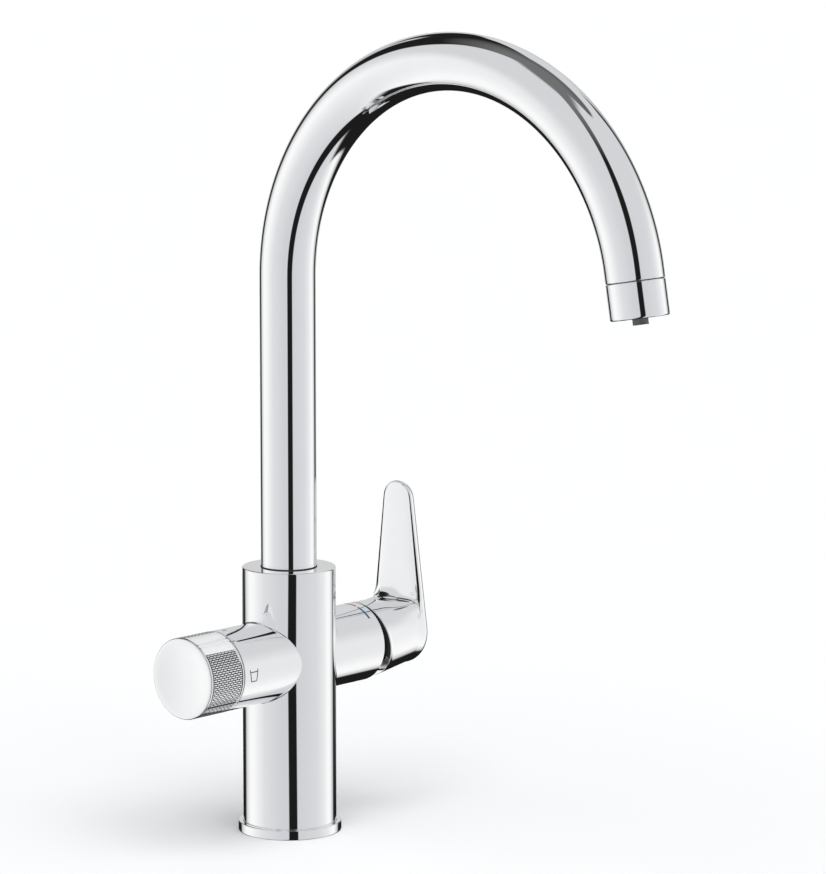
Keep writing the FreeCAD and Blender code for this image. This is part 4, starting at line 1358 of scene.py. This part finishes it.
@dataclass
class Camera:
    """The photograph's camera."""

    place: tuple[float, float, float] = (-1504.4, -1431.0, 517.5)
    turn: float = 48.15
    pitch: float = 8.69
    focal_pixels: float = 4207.4
    sensor: float = 36.0

    def build(self) -> None:
        """Makes the camera and gives it to the scene."""
        data = bpy.data.cameras.new("photo_camera")
        data.sensor_width = self.sensor
        data.lens = self.focal_pixels / max(IMAGE_WIDTH, IMAGE_HEIGHT) * self.sensor
        made = bpy.data.objects.new("photo_camera", data)
        made.location = Vector(self.place) * MM
        turn, pitch = math.radians(self.turn), math.radians(self.pitch)
        flat = math.cos(pitch)
        back = Vector((-math.sin(turn) * flat, -math.cos(turn) * flat, math.sin(pitch)))
        made.rotation_euler = back.to_track_quat("Z", "Y").to_euler()
        bpy.context.scene.collection.objects.link(made)
        bpy.context.scene.camera = made
        log.info("camera: %.1f mm lens", data.lens)


@dataclass
class Compass:
    """The parts of a direction: towards the viewer, to the right, its rise, and its place round the tap."""

    graph: Graph
    facing: float

    def __post_init__(self) -> None:
        """Measures the world's ray."""
        ray = self.graph.add("ShaderNodeTexCoord").outputs["Generated"]
        turn = math.radians(self.facing)
        self.toward = self.along(ray, (-math.sin(turn), -math.cos(turn), 0.0))
        self.right = self.along(ray, (math.cos(turn), -math.sin(turn), 0.0))
        self.rise = self.along(ray, (0.0, 0.0, 1.0))
        angle = self.graph.sum("ARCTAN2", self.right, self.toward)
        self.place = self.graph.sum("MULTIPLY_ADD", angle, 0.5 / math.pi, 0.5)

    def along(self, ray: object, direction: tuple[float, float, float]) -> bpy.types.NodeSocket:
        """Measures a ray along a fixed direction and returns the result's socket."""
        node = self.graph.add("ShaderNodeVectorMath", operation="DOT_PRODUCT")
        return self.graph.feed(node, i0=ray, i1=direction).outputs["Value"]


@dataclass
class Surroundings:
    """What the chrome mirrors: two long pale walls with dark gaps and strips, and a dark top.

    A place is 0 and 1 behind the tap and a half towards the viewer. A pair of numbers is where a soft
    edge starts and where it is complete.
    """

    facing: float = 48.15
    black: float = 0.012
    ceiling: Colour = (0.68, 0.69, 0.705)
    ceiling_rise: Spot = (0.1, 0.55)
    dark_stops: tuple[Spot, ...] = ((0.0, 0.012), (0.74, 0.014), (0.95, 0.17))
    left_strip: tuple[Spot, Spot] = ((0.07, 0.082), (0.122, 0.106))
    left_swing: float = 0.075
    left_swing_rise: Spot = (0.2, 0.74)
    right_strip: tuple[Spot, Spot] = ((0.886, 0.896), (0.922, 0.912))
    right_strip_rise: Spot = (0.58, 0.5)
    sill: float = 0.58
    sill_lift: float = 0.25
    sill_lift_right: Spot = (0.0, 0.14)
    sill_edge: float = 0.03
    top_right: Spot = (0.905, 0.925)
    top_swing: float = 0.15
    top_swing_rise: Spot = (0.7, 0.92)
    zenith: Spot = (0.95, 0.985)
    gap_turn: float = 10.0
    gap_half_width: float = 0.172
    gap_edge: float = 0.02
    gap_narrowing: float = 0.06
    gap_narrowing_rise: Spot = (0.45, 0.8)
    window_behind: Spot = (-0.5, -0.8)
    window_foot: Spot = (-0.22, -0.17)
    window_head: Spot = (0.42, 0.36)
    under_rise: Spot = (-0.17, -0.24)
    under_behind: Spot = (0.1, -0.1)
    under_side: Spot = (0.52, 0.46)

    def walls(self) -> list[tuple[float, Colour]]:
        """Gives the walls' tone by place."""
        black, soft, white = (self.black,) * 3, (0.65, 0.665, 0.69), (1.0, 1.0, 1.0)
        left = [(0.0, (0.66,) * 3), (0.045, (0.6,) * 3), (0.078, black), (0.108, black), (0.14, (0.72,) * 3)]
        left += [(0.185, white), (0.225, white), (0.33, (0.76, 0.77, 0.785)), (0.46, soft)]
        right = [(0.56, soft), (0.7, (0.72, 0.73, 0.75)), (0.77, (0.86, 0.865, 0.87)), (0.805, white)]
        right += [(0.835, white), (0.87, (0.6,) * 3), (0.89, black), (0.91, black), (0.95, (0.55,) * 3)]
        right += [(1.0, (0.66,) * 3)]
        return left + right

    def swung(self, way: Compass) -> bpy.types.NodeSocket:
        """Shifts the place so that the left strip widens as it rises, and returns its socket."""
        swing = way.graph.sum("MULTIPLY", way.graph.step(way.rise, *self.left_swing_rise), self.left_swing)
        return way.graph.sum("SUBTRACT", way.place, swing)

    def strips(self, way: Compass) -> list[bpy.types.NodeSocket]:
        """Draws the two upright dark strips beside the back.

        Args:
            way: The direction's parts.

        Returns:
            How dark each strip is there.
        """
        graph = way.graph
        starts, ends = self.left_strip
        left = graph.sum("MULTIPLY", graph.step(way.place, *starts), graph.step(self.swung(way), *ends))
        starts, ends = self.right_strip
        right = graph.sum("MULTIPLY", graph.step(way.place, *starts), graph.step(way.place, *ends))
        return [left, graph.sum("MULTIPLY", right, graph.step(way.rise, *self.right_strip_rise))]

    def top(self, way: Compass) -> bpy.types.NodeSocket:
        """Draws the dark top, which comes lower behind the tap than over it.

        Args:
            way: The direction's parts.

        Returns:
            How dark it is there.
        """
        graph = way.graph
        lift = graph.step(way.right, *self.sill_lift_right)
        sill = graph.sum("MULTIPLY_ADD", lift, self.sill_lift, self.sill)
        above = graph.step(graph.sum("SUBTRACT", way.rise, sill), -self.sill_edge, self.sill_edge)
        swing = graph.sum("MULTIPLY", graph.step(way.rise, *self.top_swing_rise), self.top_swing)
        right = graph.step(graph.sum("ADD", way.place, swing), *self.top_right)
        sides = graph.sum("MAXIMUM", graph.step(self.swung(way), *self.left_strip[1]), right)
        overhead = graph.step(way.rise, *self.zenith)
        return graph.sum("MAXIMUM", graph.sum("MULTIPLY", above, sides), overhead)

    def gap(self, way: Compass) -> bpy.types.NodeSocket:
        """Draws the dark gaps between the walls, with a pale window in the one behind the tap.

        Args:
            way: The direction's parts.

        Returns:
            How dark it is there.
        """
        graph = way.graph
        turn = math.radians(self.gap_turn)
        across = graph.sum("SUBTRACT", graph.sum("MULTIPLY", way.right, math.cos(turn)),
                           graph.sum("MULTIPLY", way.toward, math.sin(turn)))
        narrow = graph.sum("MULTIPLY", graph.step(way.rise, *self.gap_narrowing_rise), self.gap_narrowing)
        beyond = graph.sum("ADD", graph.sum("ABSOLUTE", across), narrow)
        inside = graph.step(beyond, self.gap_half_width + self.gap_edge, self.gap_half_width - self.gap_edge)
        foot, head = graph.step(way.rise, *self.window_foot), graph.step(way.rise, *self.window_head)
        behind = graph.step(way.toward, *self.window_behind)
        window = graph.sum("MULTIPLY", behind, graph.sum("MULTIPLY", foot, head))
        return graph.sum("MULTIPLY", inside, graph.sum("SUBTRACT", 1.0, window))

    def under(self, way: Compass) -> bpy.types.NodeSocket:
        """Draws the dark patch low behind the tap.

        Args:
            way: The direction's parts.

        Returns:
            How dark it is there.
        """
        graph = way.graph
        low = graph.sum("MULTIPLY", graph.step(way.rise, *self.under_rise),
                        graph.step(way.toward, *self.under_behind))
        return graph.sum("MULTIPLY", low, graph.step(graph.sum("ABSOLUTE", way.right), *self.under_side))

    def build(self) -> None:
        """Draws the surroundings on the world by direction."""
        world = bpy.data.worlds.new("studio")
        world.use_nodes = True
        graph = Graph(world.node_tree)
        way = Compass(graph, self.facing)
        dark = graph.ramp(way.rise, [(rise, (tone,) * 3) for rise, tone in self.dark_stops])
        colour = graph.ramp(way.place, self.walls())
        colour = graph.blend(graph.step(way.rise, *self.ceiling_rise), colour, (*self.ceiling, 1.0))
        for share in (*self.strips(way), self.top(way), self.gap(way)):
            colour = graph.blend(share, colour, dark)
        colour = graph.blend(self.under(way), colour, (*(self.black,) * 3, 1.0))
        background = graph.feed(graph.add("ShaderNodeBackground"), Color=colour)
        graph.feed(graph.add("ShaderNodeOutputWorld"), Surface=background.outputs["Background"])
        bpy.context.scene.world = world


@dataclass
class Studio:
    """The pale floor and backdrop, the lamp, and how colours are shown."""

    floor_size: float = 60.0
    floor_colour: float = 0.985
    backdrop_radius: float = 16.0
    backdrop_height: float = 9.0
    backdrop_around: int = 96
    backdrop_steps: int = 12
    sun_strength: float = 1.85
    sun_spread: float = 60.0
    sun_lean: tuple[float, float, float] = (22.0, -14.0, 0.0)

    def pale(self) -> bpy.types.Material:
        """Mixes the pale matt paint of the floor and the backdrop."""
        material = bpy.data.materials.new("studio_paint")
        material.use_nodes = True
        graph = Graph(material.node_tree)
        tone = (self.floor_colour,) * 3 + (1.0,)
        shader = graph.feed(graph.add("ShaderNodeBsdfDiffuse"), Color=tone)
        graph.feed(graph.add("ShaderNodeOutputMaterial"), Surface=shader.outputs["BSDF"])
        return material

    def set_up(self, name: str, corners: Sequence[Sequence[float]], faces: Sequence[Sequence[int]],
               paint: bpy.types.Material) -> bpy.types.Object:
        """Sets up a piece of the studio, which the chrome doesn't mirror.

        Args:
            name: The piece's name.
            corners: Its corner points in metres.
            faces: The corner numbers of each face.
            paint: Its material.

        Returns:
            The piece.
        """
        mesh = bpy.data.meshes.new(name)
        mesh.from_pydata(corners, [], faces)
        mesh.materials.append(paint)
        piece = bpy.data.objects.new(name, mesh)
        piece.visible_glossy = False
        bpy.context.scene.collection.objects.link(piece)
        return piece

    def build_floor(self) -> None:
        """Lays the pale floor, which takes the tap's shadow, and sweeps a backdrop up behind it."""
        half, paint = self.floor_size / 2, self.pale()
        corners = [(-half, -half, 0.0), (half, -half, 0.0), (half, half, 0.0), (-half, half, 0.0)]
        self.set_up("studio_floor", corners, [(0, 1, 2, 3)], paint)
        count, corners, faces = self.backdrop_around, [], []
        for a in quarter(self.backdrop_steps):
            reach = self.backdrop_radius + self.backdrop_height * math.sin(a)
            height = self.backdrop_height * (1 - math.cos(a))
            corners += [(reach * math.cos(t), reach * math.sin(t), height) for t in full_turn(count)]
        for k in range(self.backdrop_steps):
            for i in range(count):
                j = (i + 1) % count
                faces.append((k * count + i, (k + 1) * count + i, (k + 1) * count + j, k * count + j))
        backdrop = self.set_up("studio_backdrop", corners, faces, paint)
        backdrop.data.polygons.foreach_set("use_smooth", [True] * len(faces))
        backdrop.visible_diffuse = False
        backdrop.visible_shadow = False

    def build_sun(self) -> None:
        """Hangs the broad soft lamp that lifts the floor to white."""
        data = bpy.data.lights.new("soft_top_lamp", "SUN")
        data.energy = self.sun_strength
        data.angle = math.radians(self.sun_spread)
        lamp = bpy.data.objects.new("soft_top_lamp", data)
        lamp.rotation_euler = tuple(math.radians(a) for a in self.sun_lean)
        lamp.visible_glossy = False
        bpy.context.scene.collection.objects.link(lamp)

    def build(self) -> None:
        """Sets up the floor, the light and how colours are shown."""
        self.build_floor()
        self.build_sun()
        bpy.context.scene.view_settings.view_transform = "Standard"


def record_slots() -> dict[str, str]:
    """Reads the record.

    Returns:
        The material slot of each node.
    """
    return {row["node"]: row["material_slot"] for row in frame["record"]["subparts"]}


def main() -> None:
    """Builds the tap's pieces, the studio and the camera."""
    logging.basicConfig(level=logging.INFO, format="%(message)s")
    InnerParts(record_slots()).dress()
    for part in (BaseRing(), Spout(), Dome(), Lever(), Knob(), SeamShadeRings(), BranchMarks()):
        part.build()
    Surroundings().build()
    Studio().build()
    Camera().build()


if __name__ == "__main__":
    main()
